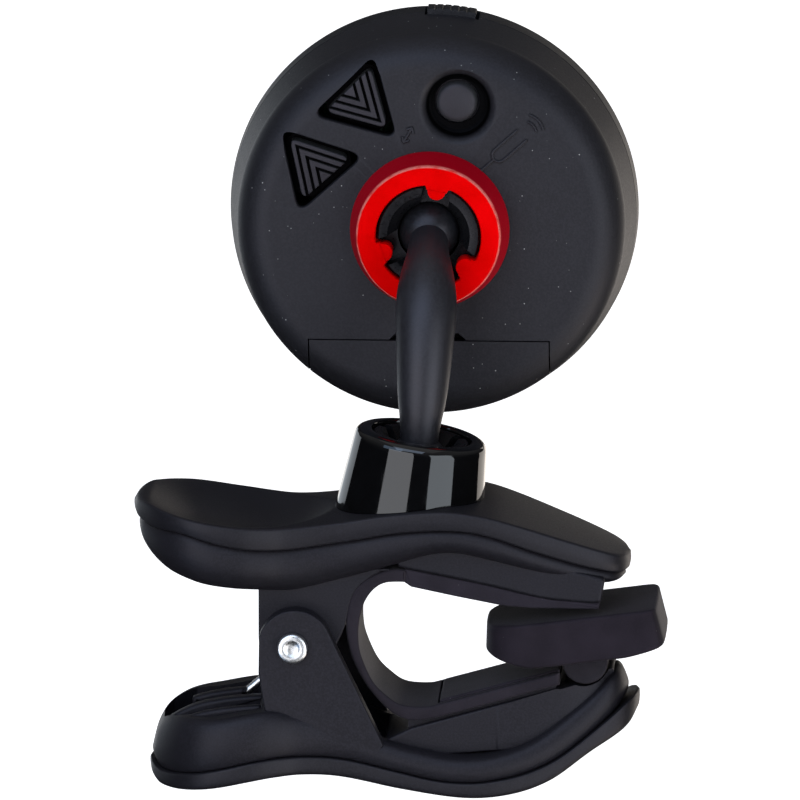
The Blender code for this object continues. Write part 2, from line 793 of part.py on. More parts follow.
def make_front_bezel(head, shell):
    shelf_top, shelf_low = SPLIT_Z - GAP, -11.7
    profile = [
        (WINDOW_RADIUS, shelf_top),
        (HEAD_RADIUS, shelf_top),
        (HEAD_RADIUS, FRONT_Z + 0.8),
        (HEAD_RADIUS - 0.8, FRONT_Z),
        (LENS_RADIUS + GAP, FRONT_Z),
        (LENS_RADIUS + GAP, shelf_low),
        (WINDOW_RADIUS, shelf_low),
    ]
    bezel = turned("front_bezel", profile, head, matte_black("bezel"), sides=48, closed=True)
    for i, angle in enumerate(SCREW_ANGLES):
        x = SCREW_CIRCLE * math.cos(math.radians(angle))
        y = SCREW_CIRCLE * math.sin(math.radians(angle))
        cut(bezel, rod(f"screw_hole_{i}", SCREW_RADIUS + GAP, -11.3, -9, head, centre=(x, y), sides=10))
    for label, item in (("shell", shell), ("bezel", bezel)):
        low, high = (POWER_X - 3.4, 19.3, -12.1), (POWER_X + 3.4, 25.0, -7.9)
        cut(item, block(f"power_gate_{label}", low, high, head))
    return bezel


def make_buttons(head):
    """Push buttons: a cap in the shell, and a post that reaches down to its switch."""
    for name, centre, angle in (
        ("up_button", UP_CENTRE, UP_ANGLE),
        ("down_button", DOWN_CENTRE, DOWN_ANGLE),
    ):
        cap = rounded_triangle(centre, BUTTON_CIRCUMRADIUS, angle, 0.6)
        button = extruded(name, cap, -2.9, -0.35, head, rubber("buttons"))
        join(button, rod(f"{name}_flange", 3.9, -2.8, -2.3, head, centre=centre))
        join(button, rod(f"{name}_post", 1.1, -4.6, -2.6, head, centre=centre, sides=12))
    button = rod("cal_button", 2.2, -2.9, -0.7, head, rubber("buttons"), centre=CAL_CENTRE)
    join(button, rod("cal_flange", 3.3, -2.8, -2.3, head, centre=CAL_CENTRE))
    join(button, rod("cal_post", 1.1, -4.6, -2.6, head, centre=CAL_CENTRE, sides=12))
    outline = [
        (POWER_X - 3.1, 20.0),
        (POWER_X + 3.1, 20.0),
        (POWER_X + 3.1, 21.9),
        (POWER_X + 2.4, 22.8),
        (POWER_X - 2.4, 22.8),
        (POWER_X - 3.1, 21.9),
    ]
    button = extruded("power_button", outline, -11.8, -8.2, head, matte_black("bezel"))
    join(button, block("power_post", (POWER_X - 1, 18.8, -8.6 + 0.2), (POWER_X + 1, 20.4, -8.25), head))


def make_switches(head):
    low, high = SWITCH_Z
    half = SWITCH_SIZE / 2
    look = material("switches", (0.05, 0.05, 0.055), 0.4)
    for label, centre in (("up", UP_CENTRE), ("down", DOWN_CENTRE), ("cal", CAL_CENTRE)):
        x, y = centre
        name = f"{label}_switch"
        switch = block(name, (x - half, y - half, low), (x + half, y + half, high - 0.8), head, look)
        join(switch, rod(f"{name}_plunger", 0.9, high - 1.0, high, head, centre=centre, sides=12))
    low_corner, high_corner = (POWER_X - 2.2, 16.6, low), (POWER_X + 2.2, 18.0, low + 1.8)
    block("power_switch", low_corner, high_corner, head, look)


def make_display(head):
    lens = [(0.0, -12.0), (LENS_RADIUS, -12.0), (LENS_RADIUS, -12.9), (0.0, -12.9)]
    turned("display_lens", lens, head, material("lens", (0.01, 0.01, 0.012), 0.05), sides=48)
    glass = material("lcd", (0.06, 0.07, 0.09), 0.2)
    block("lcd_panel", (-12, -10, -11.7), (12, 10, -10.7), head, glass)
    pale = material("diffuser", (0.8, 0.82, 0.85), 0.5)
    block("backlight", (-12, -10, -10.4), (12, 7.4, -10.0), head, pale)
    look = material("zebra", (0.2, 0.2, 0.21), 0.7)
    block("zebra_connector", (-11.5, 7.8, -10.4), (11.5, 9.6, -10.0), head, look)


def make_circuit(head):
    green = material("board", (0.02, 0.12, 0.05), 0.5)
    board = rod("circuit_board", BOARD_RADIUS, *BOARD_Z, head, green, sides=48)
    for i, angle in enumerate(SCREW_ANGLES):
        x = SCREW_CIRCLE * math.cos(math.radians(angle))
        y = SCREW_CIRCLE * math.sin(math.radians(angle))
        cut(board, rod(f"board_hole_{i}", SCREW_RADIUS + GAP, -12, -7, head, centre=(x, y), sides=10))
        head_low = BOARD_Z[1] + GAP
        profile = [(0.0, head_low + 0.6), (1.1, head_low + 0.5), (1.1, head_low), (SCREW_RADIUS, head_low)]
        profile += [(SCREW_RADIUS, -10.7), (0.0, -11.0)]
        screw = turned(f"board_screw_{i + 1}", profile, head, steel("screws"), sides=10)
        screw.location = (x * MM, y * MM, 0.0)
    brass = material("piezo", (0.75, 0.6, 0.3), 0.35, 1.0)
    rod("piezo_disc", 4.4, -2.8, -2.3, head, brass, centre=(12.8, 1.0))
    rod("battery", BATTERY_RADIUS, *BATTERY_Z, head, steel("battery"), centre=BATTERY_CENTRE, sides=40)
    block("contact_negative", (-3.0, -11.0, -8.7), (3.0, -7.0, -8.3), head, steel("contacts"))
    block("contact_positive", (-2.5, 1.1, -8.6), (2.5, 1.6, -5.4), head, steel("contacts"))


def make_head_socket(head):
    """The slotted cup round the upper ball, and the red ring that clamps its fingers."""
    outer = SOCKET_HOLE - GAP
    profile = seat_profile() + [
        (4.4, 3.4),
        (outer, 3.4),
        (outer, -2.3),
        (7.4, -2.3),
        (7.4, -3.0),
        (outer - 0.3, -3.0),
        (4.0, -4.6),
        (0.0, -4.6),
    ]
    cup = turned("socket_cup", profile, head, matte_black("socket"), sides=32)
    ring = [
        (SOCKET_HOLE, RING_HEIGHT),
        (RING_TOP_RADIUS - 0.2, RING_HEIGHT),
        (RING_TOP_RADIUS, RING_HEIGHT - 0.2),
        (RING_BASE_RADIUS, GAP),
        (SOCKET_HOLE, GAP),
    ]
    red = material("red_ring", (0.6, 0.0, 0.005), 0.35)
    clamp = turned("clamp_ring", ring, head, red, closed=True)
    for i, angle in enumerate(TAB_ANGLES):
        half = TAB_WIDTH / 2
        start = TAB_REACH + half
        tab = arc((start, 0.0), half, 90, 270, 8) + [(6.5, -half), (6.5, half)]
        piece = extruded(f"tab_{i}", tab, 1.6, RING_HEIGHT, head)
        piece.rotation_euler.z = math.radians(angle)
        join(clamp, piece)
        slot = block(f"cup_slot_{i}", (2.0, -half - GAP, 1.3), (8.0, half + GAP, 6.0), head)
        slot.rotation_euler.z = math.radians(angle)
        cut(cup, slot)


def main():
    clear_scene()
    collection(PARTS)
    collection(CUTTERS)
    clip = frame("clip_frame", (0.0, 0.0, 0.0))
    foot = frame("foot_frame", FOOT_AXIS, (0.0, -FOOT_TILT, 0.0))
    socket = frame("socket_frame", SOCKET_CENTRE, (0.0, SOCKET_LEAN, 0.0))
    head = frame("head_frame", HEAD_CENTRE, (90.0, 0.0, 0.0))

    cover = make_upper_jaw_cover(clip)
    make_upper_jaw(clip)
    make_lower_jaw(clip)
    make_lower_jaw_cover(clip)
    make_hinge_pin(clip)
    make_torsion_spring(clip)
    make_upper_grip_pad(clip)
    make_throat_strip(clip)
    make_lower_grip_pad(clip)
    make_foot(foot)
    make_foot_pin(clip)
    make_socket_collar(socket, clip)
    make_lower_socket(socket, cover)
    make_stem(clip, socket, head)
    shell = make_rear_shell(head)
    make_battery_door(head)
    make_front_bezel(head, shell)
    make_buttons(head)
    make_switches(head)
    make_display(head)
    make_circuit(head)
    make_head_socket(head)


main()
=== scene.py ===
"""The looks of a clip-on tuner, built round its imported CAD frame.

Lengths are in millimetres in four local frames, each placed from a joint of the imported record:
  CLIP    on the hinge pin's axis, axes as the row frame
  FOOT    on the foot's axis, tilted as the foot is
  SOCKET  at the lower ball's centre, +Z along the collar's leaning axis
  HEAD    at the upper ball's centre, +X right and +Y up as seen from behind, +Z out of the flat
          rear face, where Z = 0
A finished mesh is in metres in the row frame, and its object stands at the origin.
"""
import bisect
import json
from math import asin, cos, degrees, pi, radians, sin, tan

import bmesh
import bpy
from mathutils import Matrix, Vector


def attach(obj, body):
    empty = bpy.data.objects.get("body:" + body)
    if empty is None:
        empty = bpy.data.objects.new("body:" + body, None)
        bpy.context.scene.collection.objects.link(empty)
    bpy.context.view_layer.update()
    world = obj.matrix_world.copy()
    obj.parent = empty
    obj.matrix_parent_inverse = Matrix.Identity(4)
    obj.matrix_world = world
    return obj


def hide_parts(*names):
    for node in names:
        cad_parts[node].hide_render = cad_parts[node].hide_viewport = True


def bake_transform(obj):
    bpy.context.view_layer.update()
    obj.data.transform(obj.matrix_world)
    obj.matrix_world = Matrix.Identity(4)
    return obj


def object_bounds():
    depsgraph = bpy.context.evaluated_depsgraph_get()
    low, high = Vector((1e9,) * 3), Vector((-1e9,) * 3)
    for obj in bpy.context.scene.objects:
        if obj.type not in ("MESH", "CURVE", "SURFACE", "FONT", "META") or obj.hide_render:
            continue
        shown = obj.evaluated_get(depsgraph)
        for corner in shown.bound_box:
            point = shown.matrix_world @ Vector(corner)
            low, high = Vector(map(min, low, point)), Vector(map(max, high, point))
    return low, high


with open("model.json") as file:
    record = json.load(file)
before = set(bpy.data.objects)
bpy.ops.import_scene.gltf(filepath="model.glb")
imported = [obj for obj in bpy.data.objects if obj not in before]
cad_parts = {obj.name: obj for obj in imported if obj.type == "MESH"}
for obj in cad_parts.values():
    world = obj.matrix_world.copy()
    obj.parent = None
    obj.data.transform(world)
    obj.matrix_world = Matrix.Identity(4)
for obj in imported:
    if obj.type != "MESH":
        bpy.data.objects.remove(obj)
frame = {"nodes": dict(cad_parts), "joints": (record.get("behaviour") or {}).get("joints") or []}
cad_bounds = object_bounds()

MM = 0.001
HAIR = 0.05
GAP = 0.3
WELD = 0.0005
SLIVER = 0.001

JOINTS = {joint["name"]: joint for joint in frame["joints"]}
FOOT_TILT = 7.5


def joint_place(name):
    return Matrix.Translation(JOINTS[name]["pos_m"])


CLIP = joint_place("jaw_hinge")
FOOT = joint_place("foot_tilt") @ Matrix.Rotation(-radians(FOOT_TILT), 4, "Y")
SOCKET_LEAN = Vector((0, 0, 1)).rotation_difference(Vector(JOINTS["stem_swivel"]["axis"]))
SOCKET = joint_place("stem_swivel") @ SOCKET_LEAN.to_matrix().to_4x4()
UPRIGHT = Matrix.Rotation(pi / 2, 4, "X")
HEAD = joint_place("head_turn") @ UPRIGHT
CLIP_FROM_SOCKET = Matrix.Scale(1 / MM, 4) @ CLIP.inverted() @ SOCKET @ Matrix.Scale(MM, 4)

# Clip outlines as (X, Z) lines seen from the side, left to right.
UPPER_TOP = [
    (-17.7, 14.3), (-17.1, 14.95), (-16, 15.3), (-15, 15.15), (-12.5, 14.7), (-6.4, 13.75), (-0.7, 13.4),
    (4.5, 13.85), (10, 14.75), (15.9, 15.3), (19.4, 15), (22.6, 14.25), (29.3, 11.9), (36.5, 9.2),
]
UPPER_SEAM = [
    (-17.7, 13.4), (-15.4, 12.9), (-12, 12.8), (-8.2, 11.8), (-4.5, 11.1), (-0.8, 10.9), (2.9, 11.3),
    (6.7, 11.9), (11.7, 12.8), (17.6, 13.1), (21.2, 12.5), (25.7, 10.8), (31.1, 8.9), (36.5, 7.3),
]
UPPER_BELLY = [
    (-17.2, 9.9), (-16.2, 8.9), (-13.9, 7.6), (-11.5, 7), (-8.3, 6.4), (-3.5, 5.9), (0.1, 5.7), (5.6, 6.9),
    (11, 8.6), (14.9, 9.8), (17.6, 10), (20.6, 9.4), (24.7, 8.2), (29.1, 6.9), (34.6, 6), (36, 6),
]
LOWER_RIM = [
    (-15.8, -12.6), (-14.9, -9.9), (-12.6, -8.4), (-8.5, -7.9), (-2.9, -7.1), (2.3, -8), (6.8, -9.2),
    (9.5, -10.4), (13.6, -11.5), (17.7, -12.2), (21.9, -11.9), (26, -10.5), (30.2, -7.5), (33.3, -4.9),
    (34.5, -3.6), (35.3, -3.3), (36.2, -3.9),
]
LOWER_SEAM = [
    (-15.8, -14), (-14.3, -14.5), (-11.1, -14), (-7.5, -13.2), (-3.9, -12.4), (-0.4, -12.1), (5, -12.4),
    (11.5, -13.8), (15.7, -14.7), (19.5, -14.9), (22.9, -14.5), (26, -13.7), (29.1, -12.2), (34.2, -8.3),
    (36.1, -6.75), (37.4, -5.9),
]
LOWER_KEEL = [
    (-15.8, -15.5), (-14.4, -16.2), (-9.4, -15.6), (-2.1, -14.3), (4.1, -14.3), (11.7, -15.7), (18.7, -16.6),
    (23.9, -16.2), (28, -14.8), (32.2, -11.9), (36.2, -9.4), (37.4, -8),
]
RIB_TOP = [(-15.6, -11.6), (-13.9, -9.6), (-11.7, -8.3), (-9.5, -7.6), (-6.5, -7.1), (-3, -6.8)]

# The clip seen from above: half its width at each share of its length.
HALF_WIDTHS = [
    (0, 0), (0.01, 3.6), (0.048, 7.2), (0.096, 9.6), (0.148, 10.55), (0.217, 10.5), (0.269, 9.8),
    (0.32, 8.9), (0.417, 8.3), (0.565, 8.6), (0.707, 8.6), (0.861, 6.9), (0.952, 5.2), (0.987, 3.2), (1, 0),
]
UPPER_ENDS = (-17.56, 36.4)
LOWER_ENDS = (-15.65, 36.2)
LOWER_COVER_ENDS = (-15.9, 37.4)
TIP_ROOM = (5.5, 4.6)
ROOM_SHARE = 0.85
PLAN_STEPS = 130

# Side profiles of the mouldings: (share of the height, inset in mm), from top to bottom.
COVER_SIDE = [
    (0, 0.45), (0.006, 0.24), (0.04, 0.08), (0.11, 0), (0.5, -0.02), (0.86, 0.13), (0.95, 0.22),
    (0.995, 0.42), (1, 0.8),
]
KEEL_SIDE = [
    (0, 0.32), (0.015, 0.12), (0.07, 0.03), (0.2, 0), (0.5, 0), (0.75, 0.06), (0.9, 0.22), (0.98, 0.5),
    (1, 1),
]
UPPER_HULL_SIDE = [
    (0, 1.7), (0, 1.1), (0.06, 0.8), (0.2, 0.58), (0.4, 0.55), (0.6, 0.8), (0.78, 1.4), (0.9, 2.2),
    (0.975, 3.2), (1, 4.4),
]
LOWER_HULL_SIDE = [
    (0, 1.6), (0, 1.3), (0.03, 0.95), (0.12, 0.5), (0.3, 0.16), (0.55, 0), (0.8, 0.12), (0.94, 0.34),
    (1, 0.6), (1, 1.3),
]

# Thumb dish in the upper cover.
DISH_LAND = 0.5
DISH_DEPTH = 1.7
DISH_START, DISH_FULL = -17.4, -10.5
DISH_BEND, DISH_END = -4.5, 4.3
COVER_CROWN = 0.25

# Clip details. Thumb ribs are (left end, right end, low Y, high Y).
POCKET_LANES = ((-4.2, -1.9), (-1.1, 1.1), (1.9, 4.2))
THUMB_RIBS = [(-12.6, -3.5, -6.75, -5.6), (-14.5, -3.5, -2.1, -0.4), (-11.4, -5.6, 2, 3.5)]
CARRIER_HALF = 6
STRIP_HALF = 6
UPPER_PAD_HALF = 5.8
LOWER_PAD_HALF = 5
EAR_SPAN = (6.3, 8.3)
LUG_SPAN = (4.2, 6)
PIN_RADIUS = 1.1
RIVET_RADIUS, RIVET_FACE = 1.65, 9.2
SPRING_WIRE_RADIUS = 0.45
SPRING_COIL_RADIUS, SPRING_COIL_HALF = 2.1, 3
SPRING_TURNS = 5
FOOT_AXIS = (31.6, -2)
FOOT_BORE = 0.85
FOOT_TOP, FOOT_EDGE, FOOT_DRAFT = 5.17, 0.35, 0.4
KNUCKLE_RADIUS, KNUCKLE_HALF = 2.5, 5

# Arm and sockets.
BALL_RADIUS = 3.4
SEAT_RADIUS = BALL_RADIUS + GAP
SEAT_MOUTH = 1.6
COLLAR_BORE = 5.4
COLLAR_TOP = (7.2, 3.54)
COLLAR_LOW = -8
COLLAR_TAPER = 0.1
ARM_START_REACH, ARM_END_REACH, ARM_END_DIP = 13, 10, 13
ARM_RADII = (2.1, 2.15, 2.62, 2.92, 3.12, 3.3, 3.25, 2.9, 2.4, 2.1, 2.05)
ARM_STEPS = 90

# Head.
HEAD_SIDES = 240
HEAD_RADIUS = 22
FRONT_RADIUS = 22.35
FACE_RADIUS = 17.5
SHOULDER = (21.2, 4)
SPLIT_Z, FRONT_Z = -9.7, -13
REAR_WALL, WALL = 2, 1.35
SOCKET_HOLE = 5.75
RING_RADII = (8.7, 7.8)
RING_HEIGHT = 4
# Clamp ring radii: where its painted highlight line fades in, and where its face turns into its side.
RING_HIGHLIGHT, RING_SIDE = (7.66, 7.74), (7.84, 7.92)
TAB_REACH, TAB_HALF = 4.2, 1
TAB_ANGLES = (80, 200, 320)
DOOR_CENTRE_X, DOOR_HALF, DOOR_TOP = -0.1, 13.2, -12.3
DOOR_SEAM = 0.14
LENS_RADIUS, WINDOW_RADIUS = 18, 16.6
SCALE_RADIUS, SCALE_LOW, SCALE_HIGH = 11.2, -11.82, -11.72
# The triangular buttons: centre, the way a corner points and the way the chevrons point.
TRIANGLES = {"up": ((-7.5, 14), 75, -45), "down": ((-12.6, 6.95), 12, 132)}
RECESS_CIRCUMRADIUS, BUTTON_CIRCUMRADIUS = 5.5, 4.05
CAP_TOP = -0.3
CHEVRON_REACHES = (3.2, 1.55, -0.1)
# Radii where the painted shade in the head's recesses fades out towards the shoulder.
PAINTED_SHADE_EDGE = (20.2, 20.5)
CAL_CENTRE = (2.9, 14)
CAL_BOWL_CENTRE = (3.05, 13.7)
POWER_ANGLES = (77.6, 92.2)
POWER_DEPTHS = (-11.8, -9.1)

# Camera, floor and light.
VIEW_AZIMUTH, VIEW_ELEVATION = 2.6, 12.7
VIEW_WIDTH = 86.957
VIEW_CENTRE = (11.283, 25.02)
VIEW_DISTANCE = 2500
SENSOR = 36
FLOOR_DROP, FLOOR_REACH = 11.5, 6000
LIGHT_TARGET = (12, 0, 20)
WHITE = (1, 1, 1)


# Lines and outlines.


def smooth_line(points, steps=4):
    """A Catmull-Rom line through points of any dimension."""
    ends = [points[0]] + list(points) + [points[-1]]
    line = []
    for four in zip(ends, ends[1:], ends[2:], ends[3:]):
        for i in range(steps):
            t = i / steps
            weights = (-t + 2 * t * t - t ** 3, 2 - 5 * t * t + 3 * t ** 3)
            weights += (t + 4 * t * t - 3 * t ** 3, t ** 3 - t * t)
            line.append(tuple(sum(w * p for w, p in zip(weights, axis)) / 2 for axis in zip(*four)))
    return line + [tuple(points[-1])]


def clamped(value):
    return min(max(value, 0), 1)


def height_of(points):
    """A smooth height as a function of X through (X, Z) points."""
    last = len(points) - 1
    xs = [x for x, _ in points]

    def slope(i):
        (x0, z0), (x1, z1) = points[max(i - 1, 0)], points[min(i + 1, last)]
        return (z1 - z0) / (x1 - x0)

    def at(x, y=0):
        x = min(max(x, xs[0]), xs[-1])
        i = min(bisect.bisect_right(xs, x), last) - 1
        (x0, z0), (x1, z1) = points[i], points[i + 1]
        span = x1 - x0
        t = (x - x0) / span
        rise = z0 * (1 - t) ** 2 * (1 + 2 * t) + z1 * t * t * (3 - 2 * t)
        return rise + span * t * (1 - t) * (slope(i) * (1 - t) - slope(i + 1) * t)

    return at


def arc(centre, radius, start, end, steps):
    angles = [radians(start + (end - start) * i / steps) for i in range(steps + 1)]
    return [(centre[0] + radius * cos(a), centre[1] + radius * sin(a)) for a in angles]


def circle(sides):
    """The directions of a regular polygon's corners."""
    return [(cos(a), sin(a)) for a in (2 * pi * i / sides for i in range(sides))]


def quarter_round(edge, steps):
    """(inset, height) pairs up a rounded edge, from its foot to the flat."""
    turns = [pi / 2 * i / steps for i in range(steps + 1)]
    return [(edge * (1 - sin(a)), edge * (1 - cos(a))) for a in turns]


def filleted(corners, radius, steps=4):
    """A closed outline whose corners are rounded; nearly straight corners stay as they are."""
    line = []
    for i, corner in enumerate(corners):
        here = Vector(corner)
        before = Vector(corners[i - 1]) - here
        after = Vector(corners[(i + 1) % len(corners)]) - here
        half = before.angle(after) / 2
        if half > radians(80):
            line.append(tuple(here))
            continue
        reach = min(radius / tan(half), 0.48 * before.length, 0.48 * after.length)
        first, last = here + before.normalized() * reach, here + after.normalized() * reach
        for k in range(steps + 1):
            t = k / steps
            line.append(tuple(first * (1 - t) ** 2 + here * 2 * t * (1 - t) + last * t * t))
    return line


def rounded_triangle(centre, circumradius, angle, radius):
    """A triangle with one corner towards the angle."""
    return filleted(arc(centre, circumradius, angle, angle + 240, 2), radius, 6)


def rounded_box(low, high, radius):
    return filleted([low, (high[0], low[1]), high, (low[0], high[1])], radius)


def turned_about(centre, points, angle):
    """The points turned by an angle and then moved so that their origin is at centre."""
    c, s = cos(radians(angle)), sin(radians(angle))
    return [(centre[0] + x * c - y * s, centre[1] + x * s + y * c) for x, y in points]


def anticlockwise(outline):
    area = sum(a[0] * b[1] - b[0] * a[1] for a, b in zip(outline, outline[1:] + outline[:1]))
    return outline if area > 0 else outline[::-1]


def inset(outline, distance):
    """The anticlockwise outline moved inwards."""
    line = []
    for i, point in enumerate(outline):
        along = Vector(outline[(i + 1) % len(outline)]) - Vector(outline[i - 1])
        inwards = Vector((-along.y, along.x)).normalized()
        line.append(tuple(Vector(point) + inwards * distance))
    return line


def resampled(line, count):
    """The same open line with its points evenly spaced."""
    lengths = [0]
    for a, b in zip(line, line[1:]):
        lengths.append(lengths[-1] + (Vector(b) - Vector(a)).length)
    points = []
    for i in range(count + 1):
        want = lengths[-1] * i / count
        k = min(bisect.bisect_right(lengths, want), len(line) - 1)
        t = (want - lengths[k - 1]) / (lengths[k] - lengths[k - 1])
        points.append(tuple(Vector(line[k - 1]).lerp(Vector(line[k]), t)))
    return points


def beside(corner, offsets):
    """Points given by how far they are from a corner."""
    return [(corner[0] + x, corner[1] + y) for x, y in offsets]


def mirrored(line):
    """The same line on the other side of the first axis, run backwards."""
    return [(x, -y) for x, y in reversed(line)]


# Meshes. Each maker returns an object whose mesh is still in millimetres in its local frame.


def linked(name, data):
    """A new object in the scene."""
    made = bpy.data.objects.new(name, data)
    bpy.context.scene.collection.objects.link(made)
    return made


def object_from(work):
    bmesh.ops.remove_doubles(work, verts=work.verts, dist=WELD)
    bmesh.ops.recalc_face_normals(work, faces=work.faces)
    mesh = bpy.data.meshes.new("piece")
    work.to_mesh(mesh)
    work.free()
    return linked("piece", mesh)


def loft(rings, looped=False):
    """Quads between rings of equally many points; open ends get caps, or close on themselves."""
    work = bmesh.new()
    rows = [[work.verts.new(point) for point in ring] for ring in rings]
    pairs = list(zip(rows, rows[1:]))
    if looped:
        pairs.append((rows[-1], rows[0]))
    for a, b in pairs:
        for i in range(len(a)):
            j = (i + 1) % len(a)
            work.faces.new((a[i], b[i], b[j], a[j]))
    ends = [] if looped else [rows[0], rows[-1]]
    for row in ends:
        cap = work.faces.new(row)
        if cap.calc_area() < SLIVER:
            work.faces.remove(cap)
    return object_from(work)


def turned(profile, sides=128, looped=False):
    """A profile of (radius, Z) points turned about Z."""
    rings = [[(radius * c, radius * s, z) for c, s in circle(sides)] for radius, z in profile]
    return loft(rings, looped)


def plate(outline, low, high, edge=0, side=False, steps=3):
    """An outline made thick, with rounded edges. A side outline lies in XZ and is thick along Y;
    otherwise it lies in XY and is thick along Z."""
    outline = anticlockwise(outline)
    levels = quarter_round(edge, steps) if edge else [(0, 0)]
    rows = []
    for distance, level in [(d, low + h) for d, h in levels] + [(d, high - h) for d, h in reversed(levels)]:
        rows.append([(x, level, y) if side else (x, y, level) for x, y in inset(outline, distance)])
    return loft(rows)


def side_plate(outline, half, edge=0):
    """A plate across the clip's middle plane."""
    return plate(outline, -half, half, edge, side=True)


def side_pair(outline, span, edge):
    """The same plate on the clip's near and far sides."""
    return [plate(outline, low, high, edge, side=True) for low, high in ((-span[1], -span[0]), span)]


def sweep(path, radii, sides=24):
    """A round tube along a path, with a radius at each point."""
    path = [Vector(p) for p in path]
    rings = []
    across = Vector((0, 1, 0))
    for i, place in enumerate(path):
        along = (path[min(i + 1, len(path) - 1)] - path[max(i - 1, 0)]).normalized()
        across = (across - along * across.dot(along)).normalized()
        other = along.cross(across)
        rings.append([place + radii[i] * (across * c + other * s) for c, s in circle(sides)])
    return loft(rings)


def box(low, high):
    return plate(rounded_box(low[:2], high[:2], 0.0001), low[2], high[2])


def moved(item, place):
    """The object's mesh put in another millimetre frame."""
    item.data.transform(place)
    return item


def moved_to(item, centre):
    return moved(item, Matrix.Translation((*centre, 0)))


def spun(item, angle):
    """The object's mesh turned about Z by an angle in degrees."""
    return moved(item, Matrix.Rotation(radians(angle), 4, "Z"))


def cylinder(radius, low, high, centre=(0, 0), sides=64):
    """A plain round solid along Z."""
    return moved_to(turned([(radius, low), (radius, high)], sides), centre)


def cross_cylinder(radius, half, centre=(0, 0), sides=64):
    """A plain round solid along Y, across the clip's middle plane."""
    made = turned([(radius, -half), (radius, half)], sides)
    return moved(made, Matrix.Translation((centre[0], 0, centre[1])) @ UPRIGHT)


def ground(height, low, high, bottom, steps=24):
    """A solid under a height function, over a rectangle from low to high."""
    rows = []
    for i in range(steps + 1):
        y = low[1] + (high[1] - low[1]) * i / steps
        line = [low[0] + (high[0] - low[0]) * k / steps for k in range(steps + 1)]
        rows.append([(x, y, height(x, y)) for x in line] + [(line[-1], y, bottom), (line[0], y, bottom)])
    return loft(rows)


def combined(item, others, operation):
    """The object after a Boolean with each of the others, which are used up."""
    for other in others:
        modifier = item.modifiers.new(operation, "BOOLEAN")
        modifier.operation = operation
        modifier.solver = "MANIFOLD"
        modifier.object = other
    evaluated = item.evaluated_get(bpy.context.evaluated_depsgraph_get())
    mesh = bpy.data.meshes.new_from_object(evaluated)
    item.modifiers.clear()
    item.data = mesh
    for other in others:
        bpy.data.objects.remove(other)
    return item


def cut(item, *others):
    return combined(item, others, "DIFFERENCE")


def joined(item, *others):
    return combined(item, others, "UNION")


def kept(item, other):
    return combined(item, [other], "INTERSECT")


def plan_outline(ends):
    """The clip's outline from above, anticlockwise from its left tip."""
    length = ends[1] - ends[0]
    near = [(ends[0] + share * length, -width) for share, width in HALF_WIDTHS]
    edge = resampled(smooth_line(near, 8), PLAN_STEPS)
    return edge + mirrored(edge[1:-1])


def moulding(ends, top, bottom, side, inner):
    """A closed moulding over the clip's plan outline: top and bottom are heights as functions of
    (X, Y), side says how its wall runs between them, and inner is how many rings its top has."""
    outline = plan_outline(ends)
    spine = (ends[0] + TIP_ROOM[0], ends[1] - TIP_ROOM[1])
    middles = [Vector((min(max(x, spine[0]), spine[1]), 0)) for x, _ in outline]
    wall = smooth_line(side, 3)
    rows = []

    def add_ring(distance, share, height):
        row = []
        for point, moved_in, middle in zip(outline, inset(outline, distance), middles):
            edge = Vector(point)
            room = (middle - edge).length * ROOM_SHARE
            reach = min(1, room / max(distance, HAIR))
            place = edge.lerp(Vector(moved_in), reach).lerp(middle, share)
            row.append((place.x, place.y, height(place.x, place.y)))
        rows.append(row)

    for i in range(inner, 0, -1):
        add_ring(wall[0][1], i / inner, top)
    for share, distance in wall:
        share = clamped(share)
        add_ring(distance, 0, lambda x, y: top(x, y) * (1 - share) + bottom(x, y) * share)
    for i in range(1, 4):
        add_ring(wall[-1][1], i / 3, bottom)
    return loft(rows)


def cleaned(item):
    """Drops what Booleans leave behind: doubled points, slivers and faces that lie back to back."""
    work = bmesh.new()
    work.from_mesh(item.data)
    bmesh.ops.remove_doubles(work, verts=work.verts, dist=SLIVER)
    bmesh.ops.dissolve_degenerate(work, edges=work.edges, dist=SLIVER)
    bmesh.ops.triangulate(work, faces=work.faces)
    alike = {}
    for face in work.faces:
        alike.setdefault(frozenset(face.verts), []).append(face)
    doubled = [face for faces in alike.values() if len(faces) > 1 for face in faces]
    bmesh.ops.delete(work, geom=doubled, context="FACES")
    work.to_mesh(item.data)
    work.free()


def shown(item, name, place, slot, body, node=None, sharp=32, look=None):
    """Names a finished mesh, puts it in the row frame, shades it and makes it ride on its body. It
    has its slot's look unless another is named, and it may stand for a CAD node."""
    item.name = item.data.name = name
    cleaned(item)
    item.data.transform(place @ Matrix.Scale(MM, 4))
    item.data.materials.clear()
    item.data.materials.append(LOOKS[look or slot])
    item.data.shade_smooth()
    item.data.set_sharp_from_angle(angle=radians(sharp))
    weighted = item.modifiers.new("normals", "WEIGHTED_NORMAL")
    weighted.keep_sharp = True
    if body:
        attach(item, body)
    if node:
        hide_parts(node)
    return item


def stretched(item, high, low):
    """Bakes the piece's placement into its mesh; it works out the points at the two heights over the pin but
    does not use them.
    """
    start, end = CLIP @ Vector((0, 0, high * MM)), CLIP @ Vector((0, 0, low * MM))
    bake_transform(item)
    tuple(start)
    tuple(end)


# Materials.


